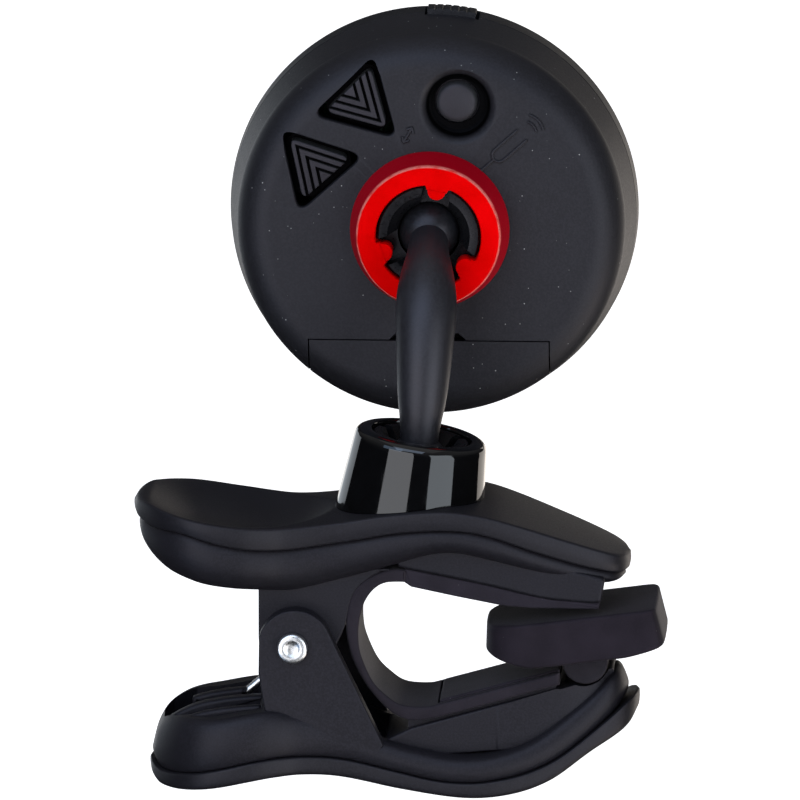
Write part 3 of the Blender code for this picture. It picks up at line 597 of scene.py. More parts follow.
class Nodes:
    """Adds shader nodes to a tree. An input is a number, a vector, a colour or another socket."""

    def __init__(self, tree, place="Object"):
        self.tree = tree
        self.place = self.add("TexCoord", {}).outputs[place]

    def wire(self, socket, value):
        if isinstance(value, bpy.types.NodeSocket):
            self.tree.links.new(value, socket)
        elif socket.type == "RGBA":
            socket.default_value = (*value, 1)
        else:
            socket.default_value = value

    def add(self, kind, inputs, **settings):
        node = self.tree.nodes.new("ShaderNode" + kind)
        for name, value in settings.items():
            setattr(node, name, value)
        for key, value in inputs.items():
            self.wire(node.inputs[key], value)
        return node

    def noise(self, size, detail=2, place=None):
        """Soft noise whose blobs are about size mm across."""
        inputs = {"Scale": 1 / (size * MM), "Detail": detail, "Vector": place or self.place}
        return self.add("TexNoise", inputs).outputs["Fac"]

    def specks(self, spacing, size):
        """1 inside small round specks spread at about spacing mm, and 0 elsewhere."""
        cells = self.add("TexVoronoi", {"Scale": 1 / (spacing * MM), "Vector": self.place})
        return self.ranged(cells.outputs["Distance"], size / spacing, 0.6 * size / spacing)

    def ranged(self, value, low, high, new_low=0, new_high=1):
        return self.add("MapRange", {0: value, 1: low, 2: high, 3: new_low, 4: new_high}).outputs["Result"]

    def maths(self, operation, a, b):
        return self.add("Math", {0: a, 1: b}, operation=operation).outputs[0]

    def product(self, a, b):
        return self.maths("MULTIPLY", a, b)

    def mixed(self, factor, a, b):
        """Colour a where the factor is 0 and b where it is 1."""
        return self.add("Mix", {"Factor": factor, 6: a, 7: b}, data_type="RGBA").outputs[2]

    def height(self, point):
        return self.add("SeparateXYZ", {0: point}).outputs["Z"]

    def local_point(self, local_frame):
        """The point in millimetres in a local frame."""
        inverse = local_frame.inverted()
        inputs = {"Vector": self.place, "Location": inverse.translation / MM}
        inputs |= {"Rotation": inverse.to_euler(), "Scale": (1 / MM, 1 / MM, 1 / MM)}
        return self.add("Mapping", inputs).outputs["Vector"]

    def distance_from_axis(self, point):
        """How far a local point is from its frame's Z axis."""
        flat = self.add("VectorMath", {0: point, 1: (1, 1, 0)}, operation="MULTIPLY")
        return self.add("VectorMath", {0: flat.outputs["Vector"]}, operation="LENGTH").outputs["Value"]


class Look(Nodes):
    """A material on the Principled shader."""

    def __init__(self, name):
        self.material = bpy.data.materials.new(name)
        self.material.use_nodes = True
        super().__init__(self.material.node_tree)
        self.shader = self.tree.nodes["Principled BSDF"]

    def finish(self, tone, roughness, relief=(), others=()):
        """Sets the shader's inputs and adds relief: pairs of a height and its depth in mm."""
        inputs = {"Base Color": tone, "Roughness": roughness} | dict(others)
        for name, value in inputs.items():
            self.wire(self.shader.inputs[name], value)
        normal = {}
        for height, depth in relief:
            bump = self.add("Bump", {"Distance": depth * MM, "Height": height, **normal})
            normal = {"Normal": bump.outputs["Normal"]}
        if normal:
            self.wire(self.shader.inputs["Normal"], normal["Normal"])
        return self.material

    def painted_pit_shade(self, start, full):
        """A painted-shade mask: 0 on the head's rear face, rising to 1 inside its recesses between two
        depths.
        """
        point = self.local_point(HEAD)
        radius = self.distance_from_axis(point)
        outwards = self.ranged(radius, FACE_RADIUS, SHOULDER[0])
        drop = self.ranged(self.product(outwards, outwards), 0, 1, 0, 0.6 * SHOULDER[1])
        level = self.maths("ADD", self.height(point), drop)
        return self.product(self.ranged(level, start, full), self.ranged(radius, *PAINTED_SHADE_EDGE, 1, 0))

    def with_painted_recess_shade(self, tone, specular, depths):
        """The tone with painted shade: darker inside the recesses, where the shine fades too."""
        painted_shade = self.painted_pit_shade(*depths)
        self.wire(self.shader.inputs["Specular IOR Level"], self.ranged(painted_shade, 0, 1, specular, 0.04))
        # Painted shade: the recesses are mixed towards near black, as if in shadow.
        return self.mixed(painted_shade, tone, (0.0008, 0.0008, 0.0009))


def scaled(colour, factor):
    return tuple(c * factor for c in colour)


def plastic(name, colour, roughness, specular, grain=0.2, relief=0.01, dust=0, painted_shade_depths=None):
    """Moulded plastic: spark-eroded grain, a cloudy tone, dust specks and painted shade in recesses."""
    look = Look(name)
    cloud = look.noise(7, 4)
    fine = look.noise(grain, 3)
    tone = look.mixed(look.ranged(cloud, 0.3, 0.7), scaled(colour, 0.74), scaled(colour, 0.98))
    tone = look.mixed(look.ranged(fine, 0.4, 0.66, 0, 0.55), tone, scaled(colour, 2))
    if dust > 0:
        sparse = look.ranged(look.noise(1.9, 1), 0.52, 0.62, 0, dust)
        tone = look.mixed(look.product(look.specks(0.9, 0.075), sparse), tone, (0.4, 0.39, 0.38))
    # Painted shade: the head's recesses are darkened between the given depths, as if in shadow, and their
    # shine is faded.
    if painted_shade_depths:
        tone = look.with_painted_recess_shade(tone, specular, painted_shade_depths)
    gloss = look.ranged(fine, 0.3, 0.7, roughness - 0.05, roughness + 0.07)
    others = {"Specular IOR Level": specular, "Specular Tint": (0.95, 0.91, 1)}
    return look.finish(tone, gloss, [(cloud, 0.006), (fine, relief)], others)


def rubber(name, colour, roughness=0.72, specular=0.25, painted_shade_depths=None):
    """Moulded rubber: fine pores, a soft bloom, a little lint and painted shade in recesses."""
    look = Look(name)
    bloom = look.noise(3.5, 5)
    pores = look.noise(0.11)
    tone = look.mixed(look.ranged(bloom, 0.35, 0.68), scaled(colour, 0.8), scaled(colour, 1.3))
    lint = look.product(look.specks(1.3, 0.05), look.ranged(bloom, 0.5, 0.6, 0, 0.5))
    tone = look.mixed(lint, tone, (0.2, 0.19, 0.19))
    # Painted shade: the head's recesses are darkened between the given depths, as if in shadow, and their
    # shine is faded.
    if painted_shade_depths:
        tone = look.with_painted_recess_shade(tone, specular, painted_shade_depths)
    gloss = look.ranged(pores, 0.3, 0.7, roughness - 0.06, roughness + 0.1)
    others = {"Specular IOR Level": specular, "Specular Tint": (0.97, 0.85, 1)}
    others |= {"Sheen Weight": 0.04, "Sheen Roughness": 0.5}
    return look.finish(tone, gloss, [(bloom, 0.015), (pores, 0.008)], others)


def gloss_black():
    """Polished black plastic with faint waviness and hairline smudges."""
    look = Look("gloss_black")
    smudge = look.noise(1.4, 5)
    tone = look.mixed(smudge, (0.0016, 0.0016, 0.0018), (0.0035, 0.0035, 0.004))
    relief = [(look.noise(5, 1), 0.012)]
    return look.finish(tone, look.ranged(smudge, 0.4, 0.8, 0.035, 0.11), relief, {"Specular IOR Level": 0.6})


def red_anodised():
    """The clamp ring's saturated red, with fine grain, painted shade on its side and a pale painted
    highlight line between face and side.
    """
    look = Look("red_ring")
    grain = look.noise(0.12, 3)
    tone = look.mixed(look.ranged(look.noise(3, 3), 0.3, 0.7), (0.68, 0, 0), (0.84, 0, 0.001))
    tone = look.mixed(look.ranged(grain, 0.55, 0.8, 0, 0.35), tone, (0.92, 0.006, 0.004))
    radius = look.distance_from_axis(look.local_point(HEAD))
    # Painted shade: the ring's side is darkened as if turned away from the light.
    tone = look.mixed(look.ranged(radius, *RING_SIDE), tone, (0.38, 0, 0.008))
    # Painted highlight: a pale line round the edge between the ring's face and side, broken up by noise.
    line = look.product(look.ranged(radius, *RING_HIGHLIGHT), look.ranged(radius, *RING_SIDE, 1, 0))
    painted_highlight = look.product(line, look.ranged(look.noise(0.9, 3), 0.3, 0.55, 0.15, 0.6))
    tone = look.mixed(painted_highlight, tone, (0.95, 0.36, 0.3))
    others = {"Specular IOR Level": 0.25, "Specular Tint": (1, 0.02, 0.02)}
    return look.finish(tone, look.ranged(grain, 0.3, 0.7, 0.4, 0.52), [(grain, 0.006)], others)


def metal(name, colour, roughness):
    """Drawn or turned metal with fine streaks along Z and a few dull spots."""
    look = Look(name)
    stretch = look.add("Mapping", {"Vector": look.place, "Scale": (1 / 0.05, 1 / 0.05, 1 / 2)})
    lines = look.noise(1, 3, stretch.outputs["Vector"])
    tone = look.mixed(look.ranged(look.noise(0.7, 4), 0.45, 0.75), colour, scaled(colour, 0.7))
    gloss = look.ranged(lines, 0.3, 0.7, roughness - 0.08, roughness + 0.1)
    return look.finish(tone, gloss, [(lines, 0.004)], {"Metallic": 1})


def printed_board():
    """Green solder mask over paler copper tracks."""
    look = Look("board")
    bricks = {"Scale": 1 / (2.2 * MM), "Mortar Size": 0.06, "Vector": look.place}
    tracks = look.add("TexBrick", bricks).outputs["Fac"]
    tone = look.mixed(tracks, (0.008, 0.075, 0.03), (0.03, 0.17, 0.07))
    return look.finish(tone, 0.35, [(tracks, 0.03), (look.noise(0.4), 0.004)])


def display_panel(name, colour, roughness):
    """Dark display glass with a faint cast."""
    look = Look(name)
    cast = look.noise(6)
    tone = look.mixed(cast, scaled(colour, 0.7), scaled(colour, 1.3))
    return look.finish(tone, look.ranged(cast, 0.3, 0.7, roughness, roughness + 0.05), [(cast, 0.004)])


def smoked_lens():
    """The clear smoked window over the display."""
    look = Look("lens")
    haze = look.noise(2.5, 4)
    tone = look.mixed(haze, (0.52, 0.54, 0.58), (0.6, 0.62, 0.65))
    gloss = look.ranged(haze, 0.3, 0.8, 0.02, 0.07)
    return look.finish(tone, gloss, others={"Transmission Weight": 1, "IOR": 1.49})


# By material slot, but for the round button's and those of the CAD nodes that stay.
LOOKS = {
    "jaw_cover": plastic("jaw_cover", (0.0092, 0.0086, 0.0108), 0.48, 0.27),
    "jaw_body": plastic("jaw_body", (0.0095, 0.0088, 0.0114), 0.5, 0.24),
    # The head shell's last argument sets the depths of painted shade in its recesses.
    "head_shell": plastic("head_shell", (0.0105, 0.0101, 0.012), 0.52, 0.34, 0.24, 0.015, 1, (-0.4, -1)),
    "bezel": plastic("bezel", (0.011, 0.011, 0.012), 0.5, 0.26),
    "stem": plastic("stem", (0.011, 0.0108, 0.013), 0.46, 0.5, 0.3, 0.004),
    "ball": plastic("ball", (0.009, 0.009, 0.0105), 0.36, 0.35, 0.3, 0.003),
    "socket": plastic("socket", (0.004, 0.004, 0.0045), 0.3, 0.26, 0.3, 0.003),
    "strip": rubber("strip", (0.0125, 0.0102, 0.0135)),
    "grip": rubber("grip", (0.0128, 0.0105, 0.0145)),
    "foot": rubber("foot", (0.0105, 0.0078, 0.0112), 0.66, 0.17),
    "knuckle": rubber("knuckle", (0.012, 0.011, 0.0135)),
    # The button caps' last argument sets the depths of painted shade in their chevron grooves.
    "buttons": rubber("triangle_caps", (0.014, 0.014, 0.0155), 0.5, 0.42, (-0.42, -0.6)),
    "round_button": rubber("round_cap", (0.018, 0.018, 0.019), 0.55, 0.4),
    "gloss_black": gloss_black(),
    "red_ring": red_anodised(),
    "steel": metal("steel", (0.82, 0.82, 0.83), 0.3),
    "brass": metal("piezo", (0.75, 0.58, 0.28), 0.34),
    "board": printed_board(),
    "switch": plastic("switches", (0.02, 0.02, 0.022), 0.35, 0.4),
    "lens": smoked_lens(),
    "lcd": display_panel("lcd", (0.03, 0.036, 0.045), 0.15),
    "diffuser": plastic("diffuser", (0.7, 0.72, 0.74), 0.5, 0.5),
    "zebra": rubber("zebra", (0.08, 0.08, 0.085)),
}


# The clip's pieces, in the CLIP frame.

upper_top_line = height_of(UPPER_TOP)
upper_seam = height_of(UPPER_SEAM)
lower_seam = height_of(LOWER_SEAM)
rib_top = height_of(RIB_TOP)
half_width = height_of(HALF_WIDTHS)


def cover_top(x, y):
    """The upper cover's top: slightly crowned, with the thumb dish sunk into its left end."""
    share = (x - UPPER_ENDS[0]) / (UPPER_ENDS[1] - UPPER_ENDS[0])
    width = max(half_width(share), HAIR)
    z = upper_top_line(x) + COVER_CROWN * (1 - min(abs(y) / width, 1) ** 2)
    room = width - DISH_LAND
    if room <= HAIR or x > DISH_END:
        return z
    u = min(abs(y) / room, 1)
    v = max(0, (x - DISH_BEND) / (DISH_END - DISH_BEND))
    inside = 1 - u * u - v * v
    if inside <= 0:
        return z
    ramp = clamped((x - DISH_START) / (DISH_FULL - DISH_START))
    depth = DISH_DEPTH * ramp * ramp * (3 - 2 * ramp) + COVER_CROWN * ramp
    return z - depth * inside ** 1.1


def make_upper_cover():
    cover = moulding(UPPER_ENDS, cover_top, upper_seam, COVER_SIDE, 40)
    cut(cover, moved(cylinder(COLLAR_BORE, -9, -1), CLIP_FROM_SOCKET))
    shown(cover, "upper_cover_skin", CLIP, "jaw_cover", "clip_upper", "upper_jaw_cover", 50)


def make_upper_hull():
    """The moulding with the pad's carrier and the hinge lugs; pockets leave two ribs in it."""
    hull = moulding(UPPER_ENDS, lambda x, y: upper_seam(x) - HAIR, height_of(UPPER_BELLY),
                    UPPER_HULL_SIDE, 6)
    lug = [(-3.8, 8.2), (-3.8, 0.6)] + arc((0, 0), 3.8, 180, 350, 14)[1:]
    edge = [(4.6, -0.3), (5.3, 1.15), (5.75, 2.5), (6.1, 4.4), (6.88, 6.1), (8.6, 7.5), (10.4, 8.35)]
    lug += smooth_line(edge, 3)
    carrier = smooth_line([(33.4, 5), (32.5, 4.75), (27.9, 5.1), (25.3, 5.6), (20.2, 6.8), (11.2, 8.55)])
    carrier += [(11.6, 10.4), (18, 11.5), (33.8, 7.4)]
    block = side_plate(filleted(carrier, 0.5), CARRIER_HALF, 0.35)
    joined(hull, block, *side_pair(lug, LUG_SPAN, 0.2))
    pockets = [plate(rounded_box((-13.6, low), (-3.6, high), 0.9), 3, 9.8) for low, high in POCKET_LANES]
    cut(hull, *pockets, cross_cylinder(PIN_RADIUS + HAIR, 7))
    shown(hull, "upper_hull", CLIP, "jaw_body", "clip_upper", "upper_jaw")


def thumb_well():
    """The pocket in the lower jaw's thumb end; a rounded lip leads down into it."""
    outline = [(-3.7, -7.4), (-9.6, -7.35), (-10.3, -6.4), (-12.9, -4.9), (-14.2, -2.6), (-14.4, 1.6)]
    outline += [(-13.6, 4.4), (-11.2, 6.7), (-3.7, 7.2)]
    return plate(anticlockwise(filleted(outline, 0.8)), -11.6, 0, 0.3)


def thumb_ribs():
    """Ribs with rounded tops that rise out of the pocket."""
    ribs = []
    for left, right, low_y, high_y in THUMB_RIBS:
        line = [(x, z) for x, z in smooth_line(RIB_TOP, 5) if left < x < right]
        outline = [(left, -12), (left, rib_top(left))] + line + [(right, rib_top(right)), (right, -12)]
        ribs.append(plate(filleted(outline, 0.4), low_y, high_y, 0.42, side=True, steps=5))
    return ribs


def lower_carrier():
    """The block that the strip and the foot's tongue stand on, narrower towards the tip."""
    outline = [(9.4, -12.9), (28.8, -11.2), (33.6, -6.6), (35, -4.6), (34.6, -3.2)]
    outline += arc(FOOT_AXIS, 2.78, -25, -112, 12) + [(28.9, -5), (28.6, -4.9), (12.8, -9.4), (10, -10.7)]
    block = side_plate(filleted(outline, 0.4), CARRIER_HALF, 0.25)
    near = [(5, -CARRIER_HALF), (18, -CARRIER_HALF), (23.5, -5.93), (27.5, -5.7), (30.5, -5.2)]
    near = smooth_line(near + [(33, -4.2), (35.3, -2.2)], 8)
    return kept(block, plate(near + mirrored(near), -20, 5))


def make_lower_hull():
    hull = moulding(LOWER_ENDS, height_of(LOWER_RIM), lambda x, y: lower_seam(x) + HAIR,
                    LOWER_HULL_SIDE, 6)
    well = [(-2.4, -11.6), (2, -11.8), (6, -12.1), (11.4, -13.2), (11.4, 0), (-2.4, 0)]
    cut(hull, thumb_well(), side_plate(well, 5.6))
    x = FOOT_AXIS[0]
    tongue = arc(FOOT_AXIS, 1.9, 180, 0, 12)
    tongue += [(x + 1.9, -6.4), (x + 1.4, -9), (x - 1.9, -10.4), (x - 2.6, -7)]
    bed = [(12.4, -10.5), (28.5, -6), (28.5, -4.54), (23.5, -5.98), (18, -7.58), (14.2, -8.53)]
    bed += [(12.4, -8.48)]
    ear = [(-2.4, -10.6), (-3.1, -6.7), (-3.7, -2.9)] + arc((0.25, 0.1), 4.02, 165, 33, 16)
    ear += [(9.85, -10.75), (9.1, -11.9)]
    parts = [
        lower_carrier(),
        side_plate(filleted(tongue, 0.5), 1.7, 0.2),
        side_plate(bed, 5.2),
        *side_pair(ear, EAR_SPAN, 0.22),
        *thumb_ribs(),
    ]
    joined(hull, *parts)
    ear_bore = cross_cylinder(PIN_RADIUS + HAIR, 10)
    cut(hull, ear_bore, cross_cylinder(FOOT_BORE, 3, FOOT_AXIS, 32))
    shown(hull, "lower_hull", CLIP, "jaw_body", "clip_lower", "lower_jaw")


def make_lower_cover():
    cover = moulding(LOWER_COVER_ENDS, lower_seam, height_of(LOWER_KEEL), KEEL_SIDE, 4)
    shown(cover, "lower_cover_skin", CLIP, "jaw_cover", "clip_lower", "lower_jaw_cover", 50)


def make_rivet():
    """The hinge pin: a shank between two domed, dimpled heads."""
    inner, radius = EAR_SPAN[1] + HAIR, RIVET_RADIUS
    dimple = [(0, -0.22), (0.35, -0.21), (0.62, -0.16), (0.8, -0.07), (0.95, -0.01), (1.15, 0)]
    face = beside((0, RIVET_FACE), dimple)
    face += beside((radius, RIVET_FACE), [(-0.25, -0.04), (-0.08, -0.14), (0, -0.3)])
    profile = smooth_line(face, 3) + [(radius, inner + 0.08), (radius - 0.08, inner), (PIN_RADIUS, inner)]
    profile += mirrored(profile)
    pin = moved(turned(profile, 96), UPRIGHT)
    shown(pin, "hinge_rivet", CLIP, "steel", "clip_upper", "hinge_pin", 60)


def make_spring():
    """A coil round the pin; its two legs bend into the thumb levers."""
    start, end = 312.2, 60.5 + 360 * SPRING_TURNS
    steps = 36 * SPRING_TURNS
    half = SPRING_COIL_HALF
    coil = []
    for i, (x, z) in enumerate(arc((0, 0), SPRING_COIL_RADIUS, start, end, steps)):
        coil.append((x, half - 2 * half * i / steps, z))
    lower = [tuple(Vector((-5.6, half, -7.65)).lerp(Vector(coil[0]), t / 8)) for t in range(8)]
    upper = [tuple(Vector(coil[-1]).lerp(Vector((-3.75, -half, 6.4)), t / 8)) for t in range(1, 9)]
    path = lower + coil + upper
    spring = sweep(path, [SPRING_WIRE_RADIUS] * len(path), 16)
    stretched(shown(spring, "spring_wire", CLIP, "steel", None, "torsion_spring", 60), 1.8, -1.8)


def make_upper_pad():
    face = [(12.03, 6.8), (12.75, 6.3), (17.5, 5.3), (22.7, 4.3), (26, 4.05), (33.1, 4.05)]
    back = [(33.3, 4.85), (32.5, 4.7), (27.9, 5.05), (25.3, 5.55), (20.2, 6.75), (12.03, 8.3)]
    pad = side_plate(filleted(face + back, 0.15), UPPER_PAD_HALF, 0.2)
    shown(pad, "upper_pad", CLIP, "grip", "clip_upper", "upper_grip_pad")


def strip_outline():
    outer = [(12.2, 8.15), (10.7, 8.3), (8.6, 7.55), (6.8, 6.2), (6, 4.4), (5.7, 2.1), (6, -0.3)]
    outer += [(6.8, -2.7), (8.3, -5.2), (10.2, -7.3), (12.1, -8.4), (14.2, -8.5), (18, -7.55)]
    outer += [(23.5, -5.95), (28.9, -4.4)]
    inner = [(28.9, -3.05), (23.5, -4.55), (18.5, -5.95), (15.7, -6.7), (14.2, -7), (11.7, -6.8)]
    inner += [(10, -5.7), (8.6, -4.2), (7.5, -1.8), (7.1, -0.1), (7.1, 2.1), (7.6, 4.3), (8.6, 5.9)]
    inner += [(10, 6.75), (12.2, 6.85)]
    return smooth_line(outer, 6) + smooth_line(inner, 6)


def make_strip():
    """The rubber strip that lines the throat and wraps round the hinge."""
    strip = side_plate(strip_outline(), STRIP_HALF, 0.28)
    pocket = [(15.6, -7.6), (29.5, -3.9), (29.5, -2), (15.6, -5.5)]
    cut(strip, side_plate(pocket, LOWER_PAD_HALF + 0.2))
    stretched(shown(strip, "throat_lining", CLIP, "strip", None, "throat_strip"), 4.5, -4.2)


def make_lower_pad():
    outline = [(15.85, -7.25), (28.85, -3.6), (28.85, -2.85), (24, -4.15), (16.1, -6.35), (15.85, -6.5)]
    pad = side_plate(filleted(outline, 0.2), LOWER_PAD_HALF, 0.2)
    shown(pad, "lower_pad", CLIP, "grip", "clip_lower", "lower_grip_pad")


# The swivel foot, in the FOOT frame.


def foot_outline():
    """The foot from above: a long block with drawn-in ends."""
    near = [(-10.65, -1.6), (-10.45, -3.5), (-9.5, -5.4), (-7.4, -6.7), (-4.5, -7), (0.5, -7)]
    near += [(5, -7), (7.5, -6.95), (8.6, -6.2), (8.93, -4)]
    closed = near + mirrored(near)
    return smooth_line(closed + closed[:1], 6)[:-1]


def foot_sole(x):
    """The height of the foot's underside, which rises towards both ends."""
    left, right = clamped((-5.6 - x) / 5), clamped((x - 4.4) / 4.5)
    return 0.27 + 1.75 * left ** 1.3 + 0.75 * right ** 1.3


def make_foot():
    """The rubber block; its sides are drafted, so that its top is a little smaller."""
    levels = quarter_round(FOOT_EDGE, 5)
    outline = foot_outline()
    rows = []
    for share in (0.98, 0.7, 0.35):
        ring = [(x * (1 - share), y * (1 - share)) for x, y in inset(outline, FOOT_EDGE)]
        rows.append([(x, y, foot_sole(x)) for x, y in ring])
    for distance, lift in levels:
        rows.append([(x, y, foot_sole(x) + lift) for x, y in inset(outline, distance)])
    for distance, drop in reversed(levels):
        rows.append([(x, y, FOOT_TOP - drop) for x, y in inset(outline, FOOT_DRAFT + distance)])
    pad = loft(rows)
    cut(pad, plate(rounded_box((-2.7, -5.2), (2.7, 5.2), 0.4), -1, 3.5))
    shown(pad, "foot_block", FOOT, "foot", "foot", "foot_pad")


def make_knuckle():
    """The round block under the foot, slotted for the jaw's tongue."""
    radius = KNUCKLE_RADIUS
    outline = arc((0, 0), radius, 180, 360, 24) + [(radius, 3.2), (-radius, 3.2)]
    knuckle = side_plate(outline, KNUCKLE_HALF, 0.2)
    slot = plate(rounded_box((-4, -2), (4, 2), 0.3), -4, 2.2)
    cut(knuckle, slot, cross_cylinder(FOOT_BORE, KNUCKLE_HALF - 0.08, sides=32))
    shown(knuckle, "knuckle_block", FOOT, "knuckle", "foot", "foot_knuckle")


# The arm and its sockets.


def make_collar():
    """The gloss cone; its foot follows the cover's curved top."""
    radius, top = COLLAR_TOP
    base = radius + (top - COLLAR_LOW) * COLLAR_TAPER
    profile = beside((COLLAR_BORE, top), [(0, -0.35), (0.1, -0.1), (0.3, 0)])
    profile += smooth_line(beside(COLLAR_TOP, [(-1.1, 0), (-0.7, -0.07), (-0.35, -0.24)]), 3)
    profile += smooth_line(beside(COLLAR_TOP, [(-0.12, -0.48), (0, -0.78), (0.07, -1.2)]), 3)
    profile += [(base, COLLAR_LOW), (COLLAR_BORE, COLLAR_LOW)]
    collar = turned(profile, 192, looped=True)
    seat = ground(lambda x, y: cover_top(x, y) + HAIR, (2, -11), (25, 11), 0)
    cut(collar, moved(seat, CLIP_FROM_SOCKET.inverted()))
    shown(collar, "collar_cone", SOCKET, "gloss_black", "clip_upper", "socket_collar", 40)


def seat_line():
    """The inside of a ball socket, from the bottom of the seat up to its mouth's height."""
    return arc((0, 0), SEAT_RADIUS, -90, degrees(asin(SEAT_MOUTH / SEAT_RADIUS)), 16)


def slots_at(angles, low, high):
    """Box cutters turned about Z to each of the angles."""
    return [spun(box(low, high), angle) for angle in angles]


def make_lower_socket():
    outer = COLLAR_BORE - 0.12
    profile = seat_line() + [(4.15, 2.95), (4.3, 3.15), (4.5, 3.2), (outer - 0.2, 3.2), (outer, 3)]
    profile += [(outer, -4.9), (0, -4.9)]
    cup = turned(profile)
    cut(cup, *slots_at((30, 150, 270), (2, -0.6, -0.8), (7, 0.6, 5)))
    shown(cup, "lower_fingers", SOCKET, "socket", "clip_upper", "lower_socket")


def make_balls():
    """Both balls have a faint parting line round their middle."""
    half = arc((0, 0), BALL_RADIUS, 90, 2, 24)
    profile = half + [(BALL_RADIUS + 0.02, 0)] + mirrored(half)
    shown(turned(profile, 96), "arm_ball", SOCKET, "ball", "arm_swivel", "lower_ball", 60)
    shown(turned(profile, 96), "head_ball", HEAD, "ball", "head_swivel", "upper_ball", 60)


def make_stem():
    """The arm from the centre of one ball to the centre of the other."""
    start = CLIP_FROM_SOCKET @ Vector((0, 0, 0))
    end = (CLIP.inverted() @ HEAD).to_translation() / MM
    dip = radians(ARM_END_DIP)
    lean = (CLIP_FROM_SOCKET.to_3x3() @ Vector((0, 0, 1))).normalized()
    first = start + ARM_START_REACH * lean + Vector((-0.8, 0, 0))
    last = end - ARM_END_REACH * Vector((0, cos(dip), sin(dip)))
    radii = smooth_line([(r,) for r in ARM_RADII], ARM_STEPS // (len(ARM_RADII) - 1))
    path = []
    for i in range(ARM_STEPS + 1):
        t = i / ARM_STEPS
        s = 1 - t
        path.append(s ** 3 * start + 3 * s * s * t * first + 3 * s * t * t * last + t ** 3 * end)
    shown(sweep(path, [r for r, in radii], 64), "stem_arm", CLIP, "stem", "arm", "stem", 60)


# The head, in the HEAD frame.


def shell_body():
    """The rear shell before anything is cut into it: a flat face, a long shoulder and a wall."""
    reach = SHOULDER[0] - FACE_RADIUS
    profile = [(SOCKET_HOLE, 0)]
    for i in range(17):
        a = pi / 2 * i / 16
        profile.append((FACE_RADIUS + reach * sin(a), SHOULDER[1] * (cos(a) - 1)))
    edge = HEAD_RADIUS + 0.15
    profile += [(edge, SPLIT_Z + 0.1), (edge - 0.06, SPLIT_Z), (HEAD_RADIUS - WALL, SPLIT_Z)]
    for i in range(9):
        a = pi / 2 * (1 - i / 8)
        profile.append((SHOULDER[0] - WALL - 3.6 * (1 - sin(a)), 3 * (cos(a) - 1) - REAR_WALL))
    return turned(profile + [(SOCKET_HOLE, -REAR_WALL)], HEAD_SIDES, looped=True)


def triangle_recess(centre, angle):
    """A pocket for a triangular button; its mouth is rounded over."""
    flare = 0.32
    rings = [(flare, 2), (flare, 0.01)] + [(grow, -drop) for grow, drop in quarter_round(flare, 5)[1:]]
    rows = []
    for grow, z in rings + [(0, -4)]:
        outline = rounded_triangle(centre, RECESS_CIRCUMRADIUS + 1.2 * grow, angle, 0.9 + 0.4 * grow)
        rows.append([(x, y, z) for x, y in outline])
    return loft(rows)


def door_notch():
    """The fingernail notch over the door's top edge: a trapezoid that deepens towards the door."""
    rings = []
    for z, grow in ((1, 0.15), (0, 0), (-1.2, -0.25)):
        low, high = DOOR_TOP - 0.4, DOOR_TOP + 0.75 + grow
        corners = [(-4.9 - grow, low), (4.4 + grow, low), (3.2 + grow, high), (-3.7 - grow, high)]
        rings.append([(x, y, z) for x, y in corners])
    return loft(rings)


def power_gate():
    """The gap in the rim that the power tab fills."""
    first, last = POWER_ANGLES[0] - 0.55, POWER_ANGLES[1] + 0.3
    outline = arc((0, 0), 25, first, last, 12) + arc((0, 0), 19.3, last, first, 12)
    return plate(outline, POWER_DEPTHS[0] - 0.1, POWER_DEPTHS[1] + 0.08)


def door_block(seam):
    """A block round the door's place, smaller by the seam on three sides."""
    low_x, high_x = DOOR_CENTRE_X - DOOR_HALF + seam, DOOR_CENTRE_X + DOOR_HALF - seam
    return box((low_x, -30, -20), (high_x, DOOR_TOP - seam, 5))


def make_rear_shell():
    shell = shell_body()
    dish = [(0, 1), (4.4, 1), (4.35, 0.01), (4.15, -0.05), (3.9, -0.2), (3.62, -0.5), (3.42, -1)]
    dish += [(3.2, -1.45), (2.85, -1.65), (0, -1.65)]
    cutters = [
        *[triangle_recess(centre, angle) for centre, angle, _ in TRIANGLES.values()],
        cylinder(2.45, -4, 0.5, CAL_CENTRE),
        door_notch(),
        power_gate(),
        *[cylinder(4.3, -6, -REAR_WALL - 0.05, centre) for centre, _, _ in TRIANGLES.values()],
        moved_to(turned(dish, 96), CAL_BOWL_CENTRE),
        door_block(0),
    ]
    cut(shell, *cutters)
    shown(shell, "rear_casing", HEAD, "head_shell", "head", "rear_shell", 28)


def make_door():
    door = kept(shell_body(), door_block(DOOR_SEAM))
    shown(door, "door_panel", HEAD, "head_shell", "door", "battery_door", 28)


def stroke(points):
    """A raised hairline on the rear face."""
    line = resampled(points, max(2, 6 * (len(points) - 1)))
    return sweep([(x, y, 0.05) for x, y in line], [0.17] * len(line), 10)


def make_marks():
    """Plain moulded pictograms: a tuning fork by the round button, and a two-way arrow."""
    prongs = [(5.6, 0.75), (2.2, 0.75)] + arc((2.2, 0), 0.75, 90, 270, 8)[1:] + [(5.6, -0.75)]
    fork = [prongs, [(1.45, 0), (-0.8, 0)]]
    fork += [arc((5.9, 0), radius, -32, 32, 6) for radius in (1.3, 2.1)]
    arrow = [[(0, -0.95), (0, 0.95)]]
    arrow += [[(-0.42, 0.45 * way), (0, 0.95 * way), (0.42, 0.45 * way)] for way in (1, -1)]
    lines = [turned_about((5.9, 6.9), line, 42) for line in fork]
    lines += [turned_about((-2.4, 10.5), line, -30) for line in arrow]
    shown(joined(*[stroke(line) for line in lines]), "shell_marks", HEAD, "head_shell", "head", sharp=60)


def chevron(centre, angle, reach, width, depth):
    """A V-shaped groove cutter whose point is reach mm from the centre towards the angle."""
    arms = [turned_about((reach, 0), [(9, 0)], turn)[0] for turn in (150, 210)]
    outer = [arms[0], (reach, 0), arms[1]]
    inner = [(x - width, y) for x, y in reversed(outer)]
    return plate(turned_about(centre, outer + inner, angle), -0.35 - depth, 1)


